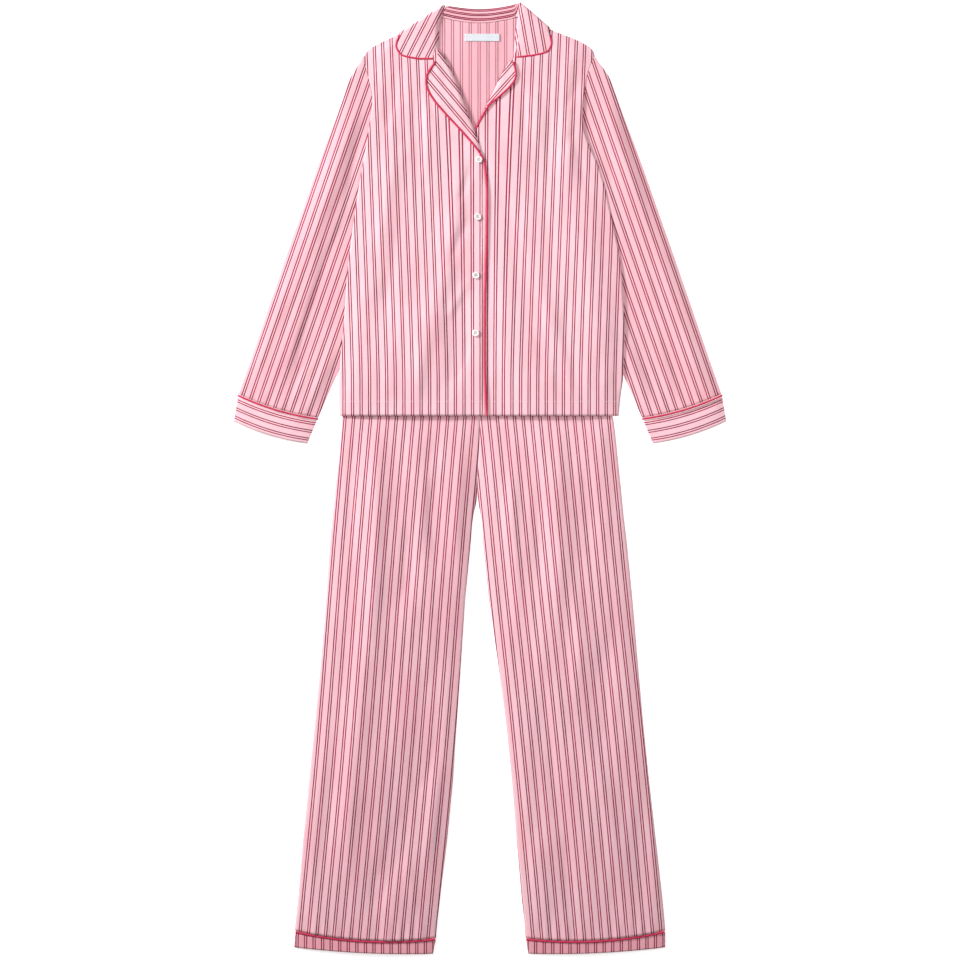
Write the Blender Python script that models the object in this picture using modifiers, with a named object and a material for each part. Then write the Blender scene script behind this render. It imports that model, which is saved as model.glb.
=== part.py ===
"""A women's cotton pyjama set laid flat: a long-sleeved jacket with a notched collar, over its trousers.

+X is the wearer's left, +Y runs from the trouser hems to the collar and +Z is up from the surface
that the set lies on. Every size in this file is in millimetres until a mesh is made.
"""

import math

import bmesh
import bpy
import numpy as np
from mathutils import Vector

MM = 0.001

# Cloth and how its layers lie on each other
CLOTH = 1.2  # wall of one layer
GAP = 0.3  # between pieces at a seam, and between layers
LAYER = CLOTH + GAP
FOLD = CLOTH + GAP / 2  # outer radius of a flattened tube's folded side

# What the jacket's body is lifted by
SLEEVE_TUCK = 3.4  # over the sleeves folded in under its sides
TUCK_RAMP = 25.0
TUCK_FLAT = 6.0  # the lift stays whole this far past the tucked sleeve
TROUSER_RAMP = 25.0

# Trim
PIPING = 1.2  # radius of a piped edge
EDGE_TO_PIPING = PIPING + GAP  # from a cut edge to the middle of its piping
BUTTON_RADIUS = 5.75
BUTTON_STEPS = 16
LABEL_SIZE = (56.0, 12.0)
LABEL_MIDDLE = (3.6, 708.6)

# Jacket. Distances from the middle to the side edges: the side seam up to 546 or 611, the armhole
# up to 680, the shoulder up to 711, and from there the edge that the collar wraps round.
BODY_SIDES = (
    ("height", "right", "left"),
    (103, 224.0, 221.8),
    (130, 226.8, 224.6),
    (158, 225.8, 228.4),
    (180, 224.6, 229.4),
    (210, 222.6, 230.4),
    (240, 218.6, 231.5),
    (262, 217.2, 230.8),
    (285, 216.0, 229.4),
    (320, 213.4, 227.8),
    (370, 208.0, 221.8),
    (420, 201.4, 210.6),
    (464, 194.8, 201.2),
    (505, 187.8, 189.0),
    (535, 182.2, 174.4),
    (560, 178.4, 165.4),
    (587, 174.2, 163.4),
    (611, 170.4, 165.6),
    (626, 173.6, 167.4),
    (640, 177.4, 169.8),
    (658, 181.8, 174.2),
    (680, 187.0, 183.4),
    (691, 179.2, 182.4),
    (701, 158.0, 163.5),
    (711, 137.5, 143.0),
    (717, 119.0, 121.0),
    (724, 106.2, 104.0),
    (733, 90.8, 93.0),
    (742, 75.2, 81.8),
)
BODY_ROWS = [row[0] for row in BODY_SIDES[1:]]
BACK_STRAIGHT_TO = 724  # above this height the back ends in the neck's curve
EDGE_COLUMNS = (0.0, 12.0, 30.0, 52.0, 76.0)  # in from a side edge, shared by the back and the fronts
EDGE_AIR = (0.0, 0.6, 1.2, 1.7, 2.0)
MIDDLE_COLUMNS = 4
FRONT_COLUMNS = 5

# Where the layers under the jacket's body lift it. Between two heights the lift is straight.
BODY_LIFTS = (
    ("height", "sleeve", "trousers", "collar", "air"),
    (103, 0.0, 4.0, 0.0, 1.0),
    (130, 0.0, 4.0, 0.0, 1.0),
    (158, 1.0, 4.0, 0.0, 1.0),
    (240, 1.0, 4.0, 0.0, 1.0),
    (262, 1.0, 3.0, 0.0, 1.0),
    (285, 1.0, 1.0, 0.0, 1.0),
    (320, 1.0, 0.0, 0.0, 1.0),
    (560, 1.0, 0.0, 0.0, 1.0),
    (611, 1.0, 0.0, 0.0, 0.6),
    (640, 0.0, 0.0, 0.0, 0.4),
    (680, 0.0, 0.0, 1.5, 0.4),
    (742, 0.0, 0.0, 1.5, 0.4),
)
COLLAR_LIFT_ENDS = (150.0, 178.0)  # from the middle: whole, and none

# How near to the middle a sleeve reaches under the jacket's body.
TUCKED_SLEEVE = (
    ("height", "reach"),
    (103, 262.0),
    (150, 240.0),
    (180, 223.0),
    (256, 189.0),
    (352, 158.0),
    (464, 144.0),
    (611, 170.7),
    (640, 178.0),
)

# The right front's edge, then its roll line, and at the top the collar's roll line.
RIGHT_FRONT_EDGE = (
    ("height", "x"),
    (103, 9.7),
    (130, 8.1),
    (192, 6.0),
    (285, 6.5),
    (376, 9.1),
    (453, 10.4),
    (485, 10.0),
    (505, 6.6),
    (520, 2.4),
    (535, -0.6),
    (560, -9.6),
    (571, -14.2),
    (613, -29.0),
    (640, -39.2),
    (670, -53.4),
    (691, -65.8),
    (733, -65.8),
    (742, -64.0),
)
# The left front's edge, under the right front up to 560, then its roll line and the collar's.
LEFT_FRONT_EDGE = (
    ("height", "x"),
    (103, -22.0),
    (464, -22.0),
    (505, -20.5),
    (535, -14.5),
    (560, -5.2),
    (576, -0.6),
    (587, 4.2),
    (604, 12.0),
    (637, 28.6),
    (658, 39.2),
    (676, 51.5),
    (711, 56.5),
    (742, 60.0),
)

# The middle of the piping round each lapel, from the break upwards.
RIGHT_LAPEL_PIPING = (
    ("x", "height"),
    (11.6, 485.0),
    (9.4, 504.0),
    (6.2, 513.4),
    (2.2, 521.6),
    (-8.3, 534.6),
    (-34.4, 564.2),
    (-64.0, 595.3),
    (-75.4, 609.9),
    (-84.6, 624.6),
    (-87.4, 637.0),
    (-85.0, 649.4),
    (-78.4, 659.4),
    (-71.6, 667.4),
)
LEFT_LAPEL_PIPING = (
    ("x", "height"),
    (-6.6, 562.0),
    (-2.7, 576.4),
    (1.6, 585.7),
    (9.4, 594.8),
    (21.8, 607.1),
    (33.9, 616.2),
    (46.9, 628.0),
    (55.4, 637.0),
    (58.6, 649.8),
    (55.6, 661.4),
    (52.2, 670.4),
)
# Rows of the two lapels. Above the notch a lapel runs up the seam that joins it to the collar.
RIGHT_LAPEL_ROWS = (528, 540, 560, 584, 604, 620, 632, 640, 650, 660, 666)
RIGHT_GORGE = ((672.0, -69.6, -54.6), (680.0, -68.4, -59.6), (687.0, -67.0, -63.6))
LEFT_LAPEL_ROWS = (599, 606, 616, 627, 640, 650, 660, 668)
LAPEL_AIR = 0.2

# Each leaf of the collar as ribs, from the roll line to the outer edge, the last on the silhouette.
RIGHT_LEAF = (
    ("roll_x", "roll_y", "edge_x", "edge_y"),
    (-66.3, 693.0, -71.6, 672.8),
    (-66.2, 700.0, -91.5, 672.5),
    (-66.0, 709.0, -112.0, 673.9),
    (-65.8, 718.0, -128.0, 679.0),
    (-65.4, 728.0, -135.8, 692.0),
    (-62.0, 742.0, -134.6, 703.0),
    (-57.0, 762.0, -130.4, 716.2),
)
LEFT_LEAF = (
    ("roll_x", "roll_y", "edge_x", "edge_y"),
    (54.0, 683.0, 54.4, 674.8),
    (54.8, 695.0, 75.0, 676.6),
    (55.8, 706.0, 94.5, 679.3),
    (57.0, 718.0, 110.2, 684.5),
    (58.6, 730.0, 116.2, 697.0),
    (61.4, 744.0, 115.4, 709.0),
    (64.6, 765.6, 113.8, 723.2),
)
# The part of the collar folded down behind the back, between the two sides where it turns.
COLLAR_FALL = (
    ("roll_x", "roll_y", "edge_x", "edge_y"),
    (-40.0, 755.0, -84.0, 692.0),
    (0.0, 752.0, 0.0, 684.0),
    (46.0, 757.4, 80.0, 693.0),
)
COLLAR_RIBS = 4
COLLAR_TURN = (90, 45, 0, -45, -90)
COLLAR_LOW, COLLAR_HIGH = CLOTH / 2, 6.1  # middle of the cloth behind the back and on the fronts
NECK_SEAM = ((-62.0, 742.0), (0.0, 731.6), (60.5, 742.0))
ROLL_LINE = ((-55.6, 760.6), (0.0, 755.2), (62.8, 764.0))

# Sleeves, as straight sections from the outer edge to the inner edge, both sides alike
SLEEVE_SECTIONS = (
    ("outer_x", "outer_y", "inner_x", "inner_y"),
    (208.0, 648.4, 144.3, 443.6),
    (232.6, 578.0, 147.2, 403.6),
    (259.6, 504.4, 155.2, 358.8),
    (286.7, 427.6, 168.8, 309.2),
    (313.6, 350.8, 187.2, 259.6),
    (340.6, 272.4, 212.8, 202.0),
    (365.0, 200.4, 234.4, 158.0),
    (387.0, 137.4, 259.6, 99.6),
)
ARMHOLE_TOP, UNDERARM = 680.0, (144.0, 464.0)
ARMHOLE_SHOWS_TO = {"right": 611.0, "left": 546.0}
CUFF_SECTIONS = (
    ("outer_x", "outer_y", "inner_x", "inner_y"),
    (387.8, 134.3, 260.8, 96.5),
    (394.8, 93.0, 276.6, 58.8),
)
CUFF_BOW = 5.0  # the cuff's seam and edge bend towards the hand by this in the middle
TUBE_COLUMNS = (0.0, 0.08, 0.2, 0.33, 0.44, 0.72, 1.0)
SLEEVE_DOME = 3.0  # the sleeve's upper layer rises by this where the jacket doesn't lie on it
SLEEVE_DOME_SHAPE = (0.0, 0.7, 1.0, 0.7, 0.0, 0.0, 0.0)
CUFF_DOME = 2.2

# Trousers: distances along X of the outer and inner edge of each leg
LEGS = (
    ("height", "right_out", "right_in", "left_in", "left_out"),
    (205, -182.0, 1.0, 1.0, 178.0),
    (160, -203.0, 0.8, 0.8, 197.0),
    (103, -220.8, 0.4, 0.4, 212.8),
    (78, -222.6, -0.4, -0.4, 216.2),
    (48, -224.4, -1.4, -1.4, 219.4),
    (6, -229.8, -4.4, -4.4, 223.6),
    (-14, -232.0, -6.3, -2.2, 225.8),
    (-38, -234.2, -9.6, 1.4, 228.2),
    (-54, -235.9, -11.8, 2.2, 229.6),
    (-95, -240.0, -14.6, 4.8, 234.6),
    (-192, -246.6, -24.0, 14.6, 244.2),
    (-288, -254.6, -30.4, 28.6, 252.4),
    (-384, -263.8, -36.8, 41.2, 260.8),
    (-480, -273.6, -43.4, 51.0, 270.6),
    (-576, -283.2, -52.8, 59.0, 281.6),
    (-672, -291.4, -64.2, 67.4, 292.4),
    (-712, -295.8, -69.2, 72.0, 296.2),
)
FRONT_CROTCH, BACK_CROTCH = 6.0, -38.0
LEG_COLUMNS = (0.0, 0.06, 0.2, 0.35, 0.5, 0.65, 0.8, 0.94, 1.0)
LEG_AIR = 2.6  # between a leg's two layers in its middle
LEG_AIR_COVERED = 0.6
WAISTBAND = ((-175.0, 243.0, 172.0, 243.0), (-181.6, 205.3, 177.6, 205.3))
HEM_PIPING = {"right": (-296.0, -722.6, -70.6, -734.6), "left": (296.6, -722.6, 73.4, -734.6)}
HEM_END = {"right": (-298.2, -750.0, -75.6, -760.4), "left": (296.8, -750.0, 77.6, -760.0)}
HEM_BOW = 9.0
HEM_END_BOW = 3.6
HEM_DOME = 2.4

# Soft folds: ridges that run down a panel
JACKET_FOLDS = (
    ("x", "top", "bottom", "width", "rise"),
    (-118, 470, 60, 26, 1.6),
    (-62, 400, 60, 24, 1.3),
    (74, 520, 60, 24, 1.5),
    (132, 430, 60, 26, 1.7),
)
TROUSER_FOLDS = (
    ("x", "top", "bottom", "width", "rise"),
    (-172, 40, -560, 26, 1.6),
    (-96, 60, -420, 26, 1.8),
    (-60, 20, -240, 22, 1.4),
    (52, 20, -260, 24, 1.6),
    (118, 60, -480, 26, 1.7),
    (182, -40, -640, 24, 1.4),
)

BUTTONS = (("x", "height"), (-1.8, 512.9), (-3.5, 421.2), (-6.4, 327.8), (-7.2, 235.0))

MATERIALS = {
    "cotton": ((0.90, 0.58, 0.64, 1.0), 0.85),
    "piping": ((0.55, 0.03, 0.09, 1.0), 0.6),
    "button": ((0.90, 0.86, 0.84, 1.0), 0.3),
    "label": ((0.90, 0.90, 0.90, 1.0), 0.6),
}


# ---- Reading the tables


def column(table, name):
    at = table[0].index(name)
    return [row[at] for row in table[1:]]


def read(table, key, value, at):
    """A named column's value where the key column is at, straight between rows."""
    keys, values = column(table, key), column(table, value)
    if keys[0] > keys[-1]:
        keys, values = keys[::-1], values[::-1]
    return float(np.interp(at, keys, values))


def ramp(value, start, end):
    """0 up to start and 1 from end, with a soft turn at both."""
    t = min(1.0, max(0.0, (value - start) / (end - start)))
    return t * t * (3 - 2 * t)


def along(start, end, share):
    return tuple(a + (b - a) * share for a, b in zip(start, end))


def beside(path, distance):
    """The path moved to its left by a distance, in plan."""
    points = np.array(path, float)
    way = np.gradient(points, axis=0)
    way /= np.linalg.norm(way, axis=1)[:, None]
    return points + distance * np.stack([-way[:, 1], way[:, 0]], axis=1)


# ---- Making objects


def material(name):
    found = bpy.data.materials.get(name)
    if found:
        return found
    colour, roughness = MATERIALS[name]
    made = bpy.data.materials.new(name)
    made.use_nodes = True
    shader = made.node_tree.nodes["Principled BSDF"]
    shader.inputs["Base Color"].default_value = colour
    shader.inputs["Roughness"].default_value = roughness
    shader.inputs["Metallic"].default_value = 0.0
    made.diffuse_color = colour
    return made


def add(name, data, finish):
    piece = bpy.data.objects.new(name, data)
    piece.data.materials.append(material(finish))
    bpy.data.collections["pyjama_set"].objects.link(piece)
    piece.parent = bpy.data.objects["pyjama_set_centre"]
    return piece


def walled(name, face, back, ring=False, finish="cotton"):
    """A cloth wall between two grids of points, closed round its rim, or only at the ends of a ring."""
    bm = bmesh.new()
    sides = [[[bm.verts.new(np.array(p) * MM) for p in row] for row in grid] for grid in (face, back)]
    rows, columns = len(face), len(face[0])
    steps = columns if ring else columns - 1
    for grid in sides:
        for i in range(rows - 1):
            for j in range(steps):
                k = (j + 1) % columns
                bm.faces.new((grid[i][j], grid[i][k], grid[i + 1][k], grid[i + 1][j]))
    outer, inner = sides
    for i in (0, rows - 1):
        for j in range(steps):
            k = (j + 1) % columns
            bm.faces.new((outer[i][j], outer[i][k], inner[i][k], inner[i][j]))
    if not ring:
        for j in (0, columns - 1):
            for i in range(rows - 1):
                bm.faces.new((outer[i][j], outer[i + 1][j], inner[i + 1][j], inner[i][j]))
    bmesh.ops.recalc_face_normals(bm, faces=bm.faces)
    mesh = bpy.data.meshes.new(name)
    bm.to_mesh(mesh)
    bm.free()
    mesh.shade_smooth()
    mesh.set_sharp_from_angle(angle=math.radians(40))
    return add(name, mesh, finish)


def panel(name, rows, finish="cotton", wall=CLOTH):
    """A panel whose lower face is the rows of points, and whose upper face lies a wall above it."""
    upper = [[(x, y, z + wall) for x, y, z in row] for row in rows]
    return walled(name, upper, rows, finish=finish)


def piped(name, path, closed=False):
    """A round piped edge whose middle follows a path."""
    data = bpy.data.curves.new(name, "CURVE")
    data.dimensions = "3D"
    data.bevel_depth = PIPING * MM
    data.bevel_resolution = 1
    data.use_fill_caps = not closed
    spline = data.splines.new("POLY")
    spline.points.add(len(path) - 1)
    for point, place in zip(spline.points, path):
        point.co = (*(np.array(place) * MM), 1.0)
    spline.use_cyclic_u = closed
    return add(name, data, "piping")


# ---- Heights of the jacket's layers


def lift(x, y):
    """How high the layers under the jacket's body hold it."""
    out = abs(x)
    reach = read(TUCKED_SLEEVE, "height", "reach", y)
    sleeve = ramp(out, reach - TUCK_FLAT - TUCK_RAMP, reach - TUCK_FLAT)
    waist = abs(read(LEGS, "height", "right_out" if x < 0 else "left_out", y))
    trousers = 1 - ramp(out, waist + GAP, waist + GAP + TROUSER_RAMP)
    collar = 1 - ramp(out, *COLLAR_LIFT_ENDS)
    return max(
        SLEEVE_TUCK * sleeve * read(BODY_LIFTS, "height", "sleeve", y),
        trousers * read(BODY_LIFTS, "height", "trousers", y),
        collar * read(BODY_LIFTS, "height", "collar", y),
    )


def folds(table, x, y):
    """The rise of the soft folds at a point. Each fades out over its last 60 mm at the top."""
    total = 0.0
    for place, top, bottom, width, rise in table[1:]:
        total += rise * math.exp(-(((x - place) / width) ** 2)) * (1 - ramp(y, top - 60, top)) * (y > bottom)
    return total


def front_low(x, y, side):
    """The height of the lower face of a front."""
    edge = read(BODY_SIDES, "height", side, y)
    air = float(np.interp(edge - abs(x), EDGE_COLUMNS, EDGE_AIR))
    if side == "left":
        air = min(air, 0.5 + 1.5 * ramp(x, 15, 45))
    return lift(x, y) + LAYER + air * read(BODY_LIFTS, "height", "air", y) + folds(JACKET_FOLDS, x, y)


def lapel_low(x, y, side):
    return front_low(x, y, side) + LAYER + LAPEL_AIR


# ---- The jacket's panels


def edge_columns(y, side):
    """Distances in from a side edge, drawn together where a shoulder is narrow."""
    scale = min(1.0, (read(BODY_SIDES, "height", side, y) - 62) / 100)
    return [step * scale for step in EDGE_COLUMNS]


def neck_curve(points, x):
    """A curve through three points that dips to the middle one."""
    (x0, y0), (_, low), (x1, y1) = points
    end_x, end_y = (x0, y0) if x < 0 else (x1, y1)
    return low + (end_y - low) * min(1.0, abs(x / end_x)) ** 2


def back_across(y):
    """Where the back's columns cross a height, from right to left."""
    right = [-read(BODY_SIDES, "height", "right", y) + step for step in edge_columns(y, "right")]
    left = [read(BODY_SIDES, "height", "left", y) - step for step in edge_columns(y, "left")]
    middle = np.linspace(right[-1], left[-1], MIDDLE_COLUMNS + 2)[1:-1]
    return [*right, *middle, *reversed(left)]


def neck_seam():
    """The seam at the back of the neck, straight between the back's columns."""
    return [(x, neck_curve(NECK_SEAM, x)) for x in back_across(BODY_ROWS[-1])]


def jacket_back():
    rows = [[(x, y, lift(x, y)) for x in back_across(y)] for y in BODY_ROWS if y <= BACK_STRAIGHT_TO]
    rows.append([(x, y - GAP, lift(x, y)) for x, y in neck_seam()])
    panel("jacket_back", rows)


def jacket_front(side):
    turn = -1 if side == "right" else 1
    edges = RIGHT_FRONT_EDGE if side == "right" else LEFT_FRONT_EDGE
    rows = []
    for y in BODY_ROWS:
        outer = read(BODY_SIDES, "height", side, y)
        across = [turn * (outer - step) for step in edge_columns(y, side)]
        across += list(np.linspace(across[-1], read(edges, "height", "x", y), FRONT_COLUMNS + 1)[1:])
        rows.append([(x, y, front_low(x, y, side)) for x in across[::-turn]])
    panel(f"jacket_front_{side}", rows)


def lapel(side):
    turn = -1 if side == "right" else 1
    table = RIGHT_LAPEL_PIPING if side == "right" else LEFT_LAPEL_PIPING
    edges = RIGHT_FRONT_EDGE if side == "right" else LEFT_FRONT_EDGE
    cut = beside(table[1:], turn * EDGE_TO_PIPING)
    spans = []
    for y in RIGHT_LAPEL_ROWS if side == "right" else LEFT_LAPEL_ROWS:
        spans.append((y, float(np.interp(y, cut[:, 1], cut[:, 0])), read(edges, "height", "x", y)))
    if side == "right":
        spans += RIGHT_GORGE
    rows = []
    for y, outer, roll in spans:
        across = np.linspace(outer, roll, 4)[::-turn]
        rows.append([(x, y, lapel_low(x, y, side)) for x in across])
    panel(f"lapel_{side}", rows)


def front_piping(side):
    """Piping up a front's edge where it shows, then round its lapel to the notch."""
    table = RIGHT_LAPEL_PIPING if side == "right" else LEFT_LAPEL_PIPING
    path = []
    if side == "right":
        for y in BODY_ROWS:
            if y < 480:
                x = read(RIGHT_FRONT_EDGE, "height", "x", y) + EDGE_TO_PIPING
                path.append((x, y, front_low(x, y, side) + PIPING))
    rise_from, rise_to = (480, 512) if side == "right" else (563, 585)
    for x, y in table[1:]:
        risen = float(np.interp(y, (rise_from, rise_to), (0, 1))) * (LAYER + LAPEL_AIR)
        path.append((x, y, front_low(x, y, side) + risen + PIPING))
    piped(f"front_piping_{side}", path)


# ---- The collar


def collar_station(roll, edge, angle, outward):
    """The faces of the collar along one rib, whose cloth stands at an angle round the turn."""
    middle, radius = (COLLAR_LOW + COLLAR_HIGH) / 2, (COLLAR_HIGH - COLLAR_LOW) / 2
    faces = []
    for reach in (radius + CLOTH / 2, radius - CLOTH / 2):
        away, up = reach * math.cos(math.radians(angle)), reach * math.sin(math.radians(angle))
        ribs = [along(roll, edge, k / (COLLAR_RIBS - 1)) for k in range(COLLAR_RIBS)]
        faces.append([(x + outward[0] * away, y + outward[1] * away, middle + up) for x, y in ribs])
    return faces


def leaf_stations(table):
    """One leaf from the notch to the silhouette, then its turn down behind the back."""
    *ribs, last = [((a, b), (c, d)) for a, b, c, d in table[1:]]
    stations = [collar_station(roll, edge, 90, (0, 0)) for roll, edge in ribs]
    roll, edge = last
    way = np.array(roll) - np.array(edge)
    outward = np.array([-way[1], way[0]]) / np.linalg.norm(way)
    outward *= 1 if outward[1] > 0 else -1
    inset = (COLLAR_HIGH - COLLAR_LOW) / 2 + CLOTH / 2
    roll, edge = (tuple(np.array(p) - outward * inset) for p in (roll, edge))
    return stations + [collar_station(roll, edge, angle, outward) for angle in COLLAR_TURN]


def collar():
    fall = [collar_station((a, b), (c, d), -90, (0, 0)) for a, b, c, d in COLLAR_FALL[1:]]
    stations = leaf_stations(RIGHT_LEAF) + fall + leaf_stations(LEFT_LEAF)[::-1]
    walled("collar", [s[0] for s in stations], [s[1] for s in stations])


def collar_stand():
    """The inside of the collar that shows across the back of the neck, from its seam to the roll line."""
    seam_x, seam_y = zip(*neck_seam())
    low = [(x, float(np.interp(x, seam_x, seam_y))) for x in np.linspace(NECK_SEAM[0][0], NECK_SEAM[2][0], 13)]
    high = [(x, neck_curve(ROLL_LINE, x)) for x in np.linspace(ROLL_LINE[0][0], ROLL_LINE[2][0], 13)]
    rows = []
    for share, rise in ((0.0, 0.0), (0.5, 0.2), (1.0, 0.7)):
        across = [along(a, b, share) for a, b in zip(low, high)]
        rows.append([(x, y, lift(x, y) + rise) for x, y in across])
    panel("collar_stand", rows)


def collar_piping(side):
    """Piping round a leaf's outer edge, up to where it turns over the shoulder."""
    table = RIGHT_LEAF if side == "right" else LEFT_LEAF
    turn = -1 if side == "right" else 1
    edge = [(c, d) for _, _, c, d in table[1:]]
    path = beside(edge, -turn * EDGE_TO_PIPING)
    rises = [COLLAR_HIGH + 0.4] * (len(path) - 1) + [COLLAR_HIGH - 1.2]
    piped(f"collar_piping_{side}", [(x, y, z) for (x, y), z in zip(path, rises)])


# ---- Tubes laid flat: sleeves, cuffs, waistband and hem bands


def bowed(section, bow, shares=TUBE_COLUMNS):
    """Points across a section, bent towards the wearer's hand or foot in the middle."""
    start, end = np.array(section[:2]), np.array(section[2:])
    way = (end - start) / np.linalg.norm(end - start)
    down = np.array([way[1], -way[0]])
    down *= 1 if down[1] < 0 else -1
    return [start + (end - start) * s + down * bow * 4 * s * (1 - s) for s in shares]


def flat_ring(points, radius, domes, fold=FOLD):
    """A closed section of a flattened tube: along the surface, round the fold, back over and round."""
    points = [np.array(p, float) for p in points]
    first, last = points[1] - points[0], points[-1] - points[-2]
    first, last = first / np.linalg.norm(first), last / np.linalg.norm(last)
    inner = [points[0] + first * fold, *points[1:-1], points[-1] - last * fold]
    ring = [(*p, fold - radius) for p in inner]
    turns = [math.radians(a) for a in (-30, 30)]
    ring += [(*(inner[-1] + last * radius * math.cos(a)), fold + radius * math.sin(a)) for a in turns]
    ring += [(*p, fold + radius + dome) for p, dome in zip(inner[::-1], domes[::-1])]
    ring += [(*(inner[0] - first * radius * math.cos(a)), fold + radius * math.sin(a)) for a in turns[::-1]]
    return ring


def tube(name, sections, domes):
    """A tube of cloth laid flat, from sections of points and the rise of its upper layer at each."""
    outer = [flat_ring(points, FOLD, dome) for points, dome in zip(sections, domes)]
    inner = [flat_ring(points, GAP / 2, dome) for points, dome in zip(sections, domes)]
    walled(name, outer, inner, ring=True)


def piped_round(name, section, bow, dome, shares):
    """Piping that runs round a flattened tube's end: under it, round both folds and over it."""
    path = flat_ring(bowed(section, bow, shares), FOLD, [dome * s for s in round_dome(shares)])
    piped(name, [(x, y, z + PIPING) for x, y, z in path], closed=True)


def round_dome(shares):
    return [math.sin(math.pi * s) ** 0.7 if 0 < s < 1 else 0.0 for s in shares]


def mirrored(section, turn):
    return tuple(value * (turn if i % 2 == 0 else 1) for i, value in enumerate(section))


def armhole(side, y):
    """The distance of a sleeve's upper end from the middle."""
    shows_to = ARMHOLE_SHOWS_TO[side]
    edge = read(BODY_SIDES, "height", side, max(y, shows_to)) + GAP
    return edge if y >= shows_to else float(np.interp(y, (UNDERARM[1], shows_to), (UNDERARM[0], edge)))


def sleeve(side):
    turn = -1 if side == "right" else 1
    heights = [ARMHOLE_TOP + (UNDERARM[1] - ARMHOLE_TOP) * s for s in TUBE_COLUMNS]
    sections = [[np.array((turn * armhole(side, y), y)) for y in heights]]
    domes = [[0.0] * len(TUBE_COLUMNS)]
    last = len(SLEEVE_SECTIONS) - 1
    for i, section in enumerate(SLEEVE_SECTIONS[1:], 1):
        sections.append(bowed(mirrored(section, turn), CUFF_BOW * max(0, i - last + 2) / 2))
        shape = round_dome(TUBE_COLUMNS) if i == last else SLEEVE_DOME_SHAPE
        height = CUFF_DOME if i == last else SLEEVE_DOME * min(1.0, i / 3)
        domes.append([height * s for s in shape])
    tube(f"sleeve_{side}", sections, domes)


def cuff(side):
    turn = -1 if side == "right" else 1
    start, end = [mirrored(section, turn) for section in CUFF_SECTIONS[1:]]
    sections = [bowed(along(start, end, share), CUFF_BOW) for share in (0.0, 0.5, 1.0)]
    dome = [CUFF_DOME * s for s in round_dome(TUBE_COLUMNS)]
    tube(f"cuff_{side}", sections, [dome] * 3)
    seam = along(mirrored(SLEEVE_SECTIONS[-1], turn), start, 0.5)
    piped_round(f"cuff_piping_{side}", seam, CUFF_BOW, CUFF_DOME, TUBE_COLUMNS)


# ---- Trousers


def leg_edges(y, side, layer):
    """The outer and inner edge of a leg's front or back at a height."""
    outer = read(LEGS, "height", f"{side}_out", y)
    inner = read(LEGS, "height", f"{side}_in", y)
    crotch = FRONT_CROTCH if layer == "front" else BACK_CROTCH
    seam = GAP / 2 * (-1 if side == "right" else 1)
    if y >= crotch:
        middle = (read(LEGS, "height", "right_in", y) + read(LEGS, "height", "left_in", y)) / 2
        inner = middle + seam
    return outer, inner


def leg_air(y, share):
    """The space between a leg's layers: little where the jacket covers it."""
    covered = 1 - ramp(y, 20, 96)
    shape = math.sin(math.pi * share) ** 0.8 if 0 < share < 1 else 0.0
    return shape * (LEG_AIR_COVERED + (LEG_AIR - LEG_AIR_COVERED) * covered), covered


def trouser_panel(side, layer):
    rows = []
    for y in column(LEGS, "height"):
        outer, inner = leg_edges(y, side, layer)
        points = [(outer + (inner - outer) * s, y, s) for s in LEG_COLUMNS]
        rows.append(points)
    seam = HEM_PIPING[side]
    end = bowed(seam, HEM_BOW, LEG_COLUMNS)
    rows.append([(x, y + EDGE_TO_PIPING, s) for (x, y), s in zip(end, LEG_COLUMNS)])
    placed = []
    for row in rows:
        line = []
        for x, y, share in row:
            air, covered = leg_air(y, share)
            low = LAYER + air + covered * folds(TROUSER_FOLDS, x, y) * (0 < share < 1)
            line.append((x, y, low if layer == "front" else 0.0))
        placed.append(line if side == "right" else line[::-1])
    panel(f"trousers_{layer}_{side}", placed[::-1])


def hem_band(side):
    seam, end = HEM_PIPING[side], HEM_END[side]
    below = tuple(v - (EDGE_TO_PIPING if i % 2 else 0) for i, v in enumerate(seam))
    sections = []
    for share in (0.0, 0.5, 1.0):
        bow = HEM_BOW + (HEM_END_BOW - HEM_BOW) * share
        sections.append(bowed(along(below, end, share), bow, LEG_COLUMNS))
    dome = [HEM_DOME * s for s in round_dome(LEG_COLUMNS)]
    tube(f"hem_band_{side}", sections, [dome] * 3)
    piped_round(f"hem_piping_{side}", seam, HEM_BOW, HEM_DOME, LEG_COLUMNS)


def waistband():
    tube("waistband", [bowed(section, 0.0) for section in WAISTBAND], [[0.0] * len(TUBE_COLUMNS)] * 2)


# ---- What lies on the panels


def button(number, x, y):
    """A turned disc with a raised rim, on the right front."""
    r = BUTTON_RADIUS
    profile = ((0, 1.8), (0.6 * r, 1.8), (0.74 * r, 2.5), (0.88 * r, 2.5), (r, 1.8), (r, 0.8), (0.75 * r, 0), (0, 0))
    mesh = bpy.data.meshes.new(f"button_{number}")
    edges = [(i, i + 1) for i in range(len(profile) - 1)]
    mesh.from_pydata([(a * MM, 0, b * MM) for a, b in profile], edges, [])
    piece = add(f"button_{number}", mesh, "button")
    piece.location = (x * MM, y * MM, (front_low(x, y, "right") + LAYER + LAPEL_AIR) * MM)
    screw = piece.modifiers.new("turned", "SCREW")
    screw.steps = screw.render_steps = BUTTON_STEPS
    screw.use_merge_vertices = True
    screw.merge_threshold = 0.0001
    screw.use_smooth_shade = False


def label():
    (wide, tall), (x, y) = LABEL_SIZE, LABEL_MIDDLE
    rows = []
    for v in (y - tall / 2, y + tall / 2):
        across = np.linspace(x - wide / 2, x + wide / 2, 4)
        rows.append([(u, v, lift(u, v) + LAYER + 0.1) for u in across])
    panel("label", rows, finish="label", wall=1.0)


# ---- The whole set


def clear():
    for piece in list(bpy.data.objects):
        bpy.data.objects.remove(piece, do_unlink=True)


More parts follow.
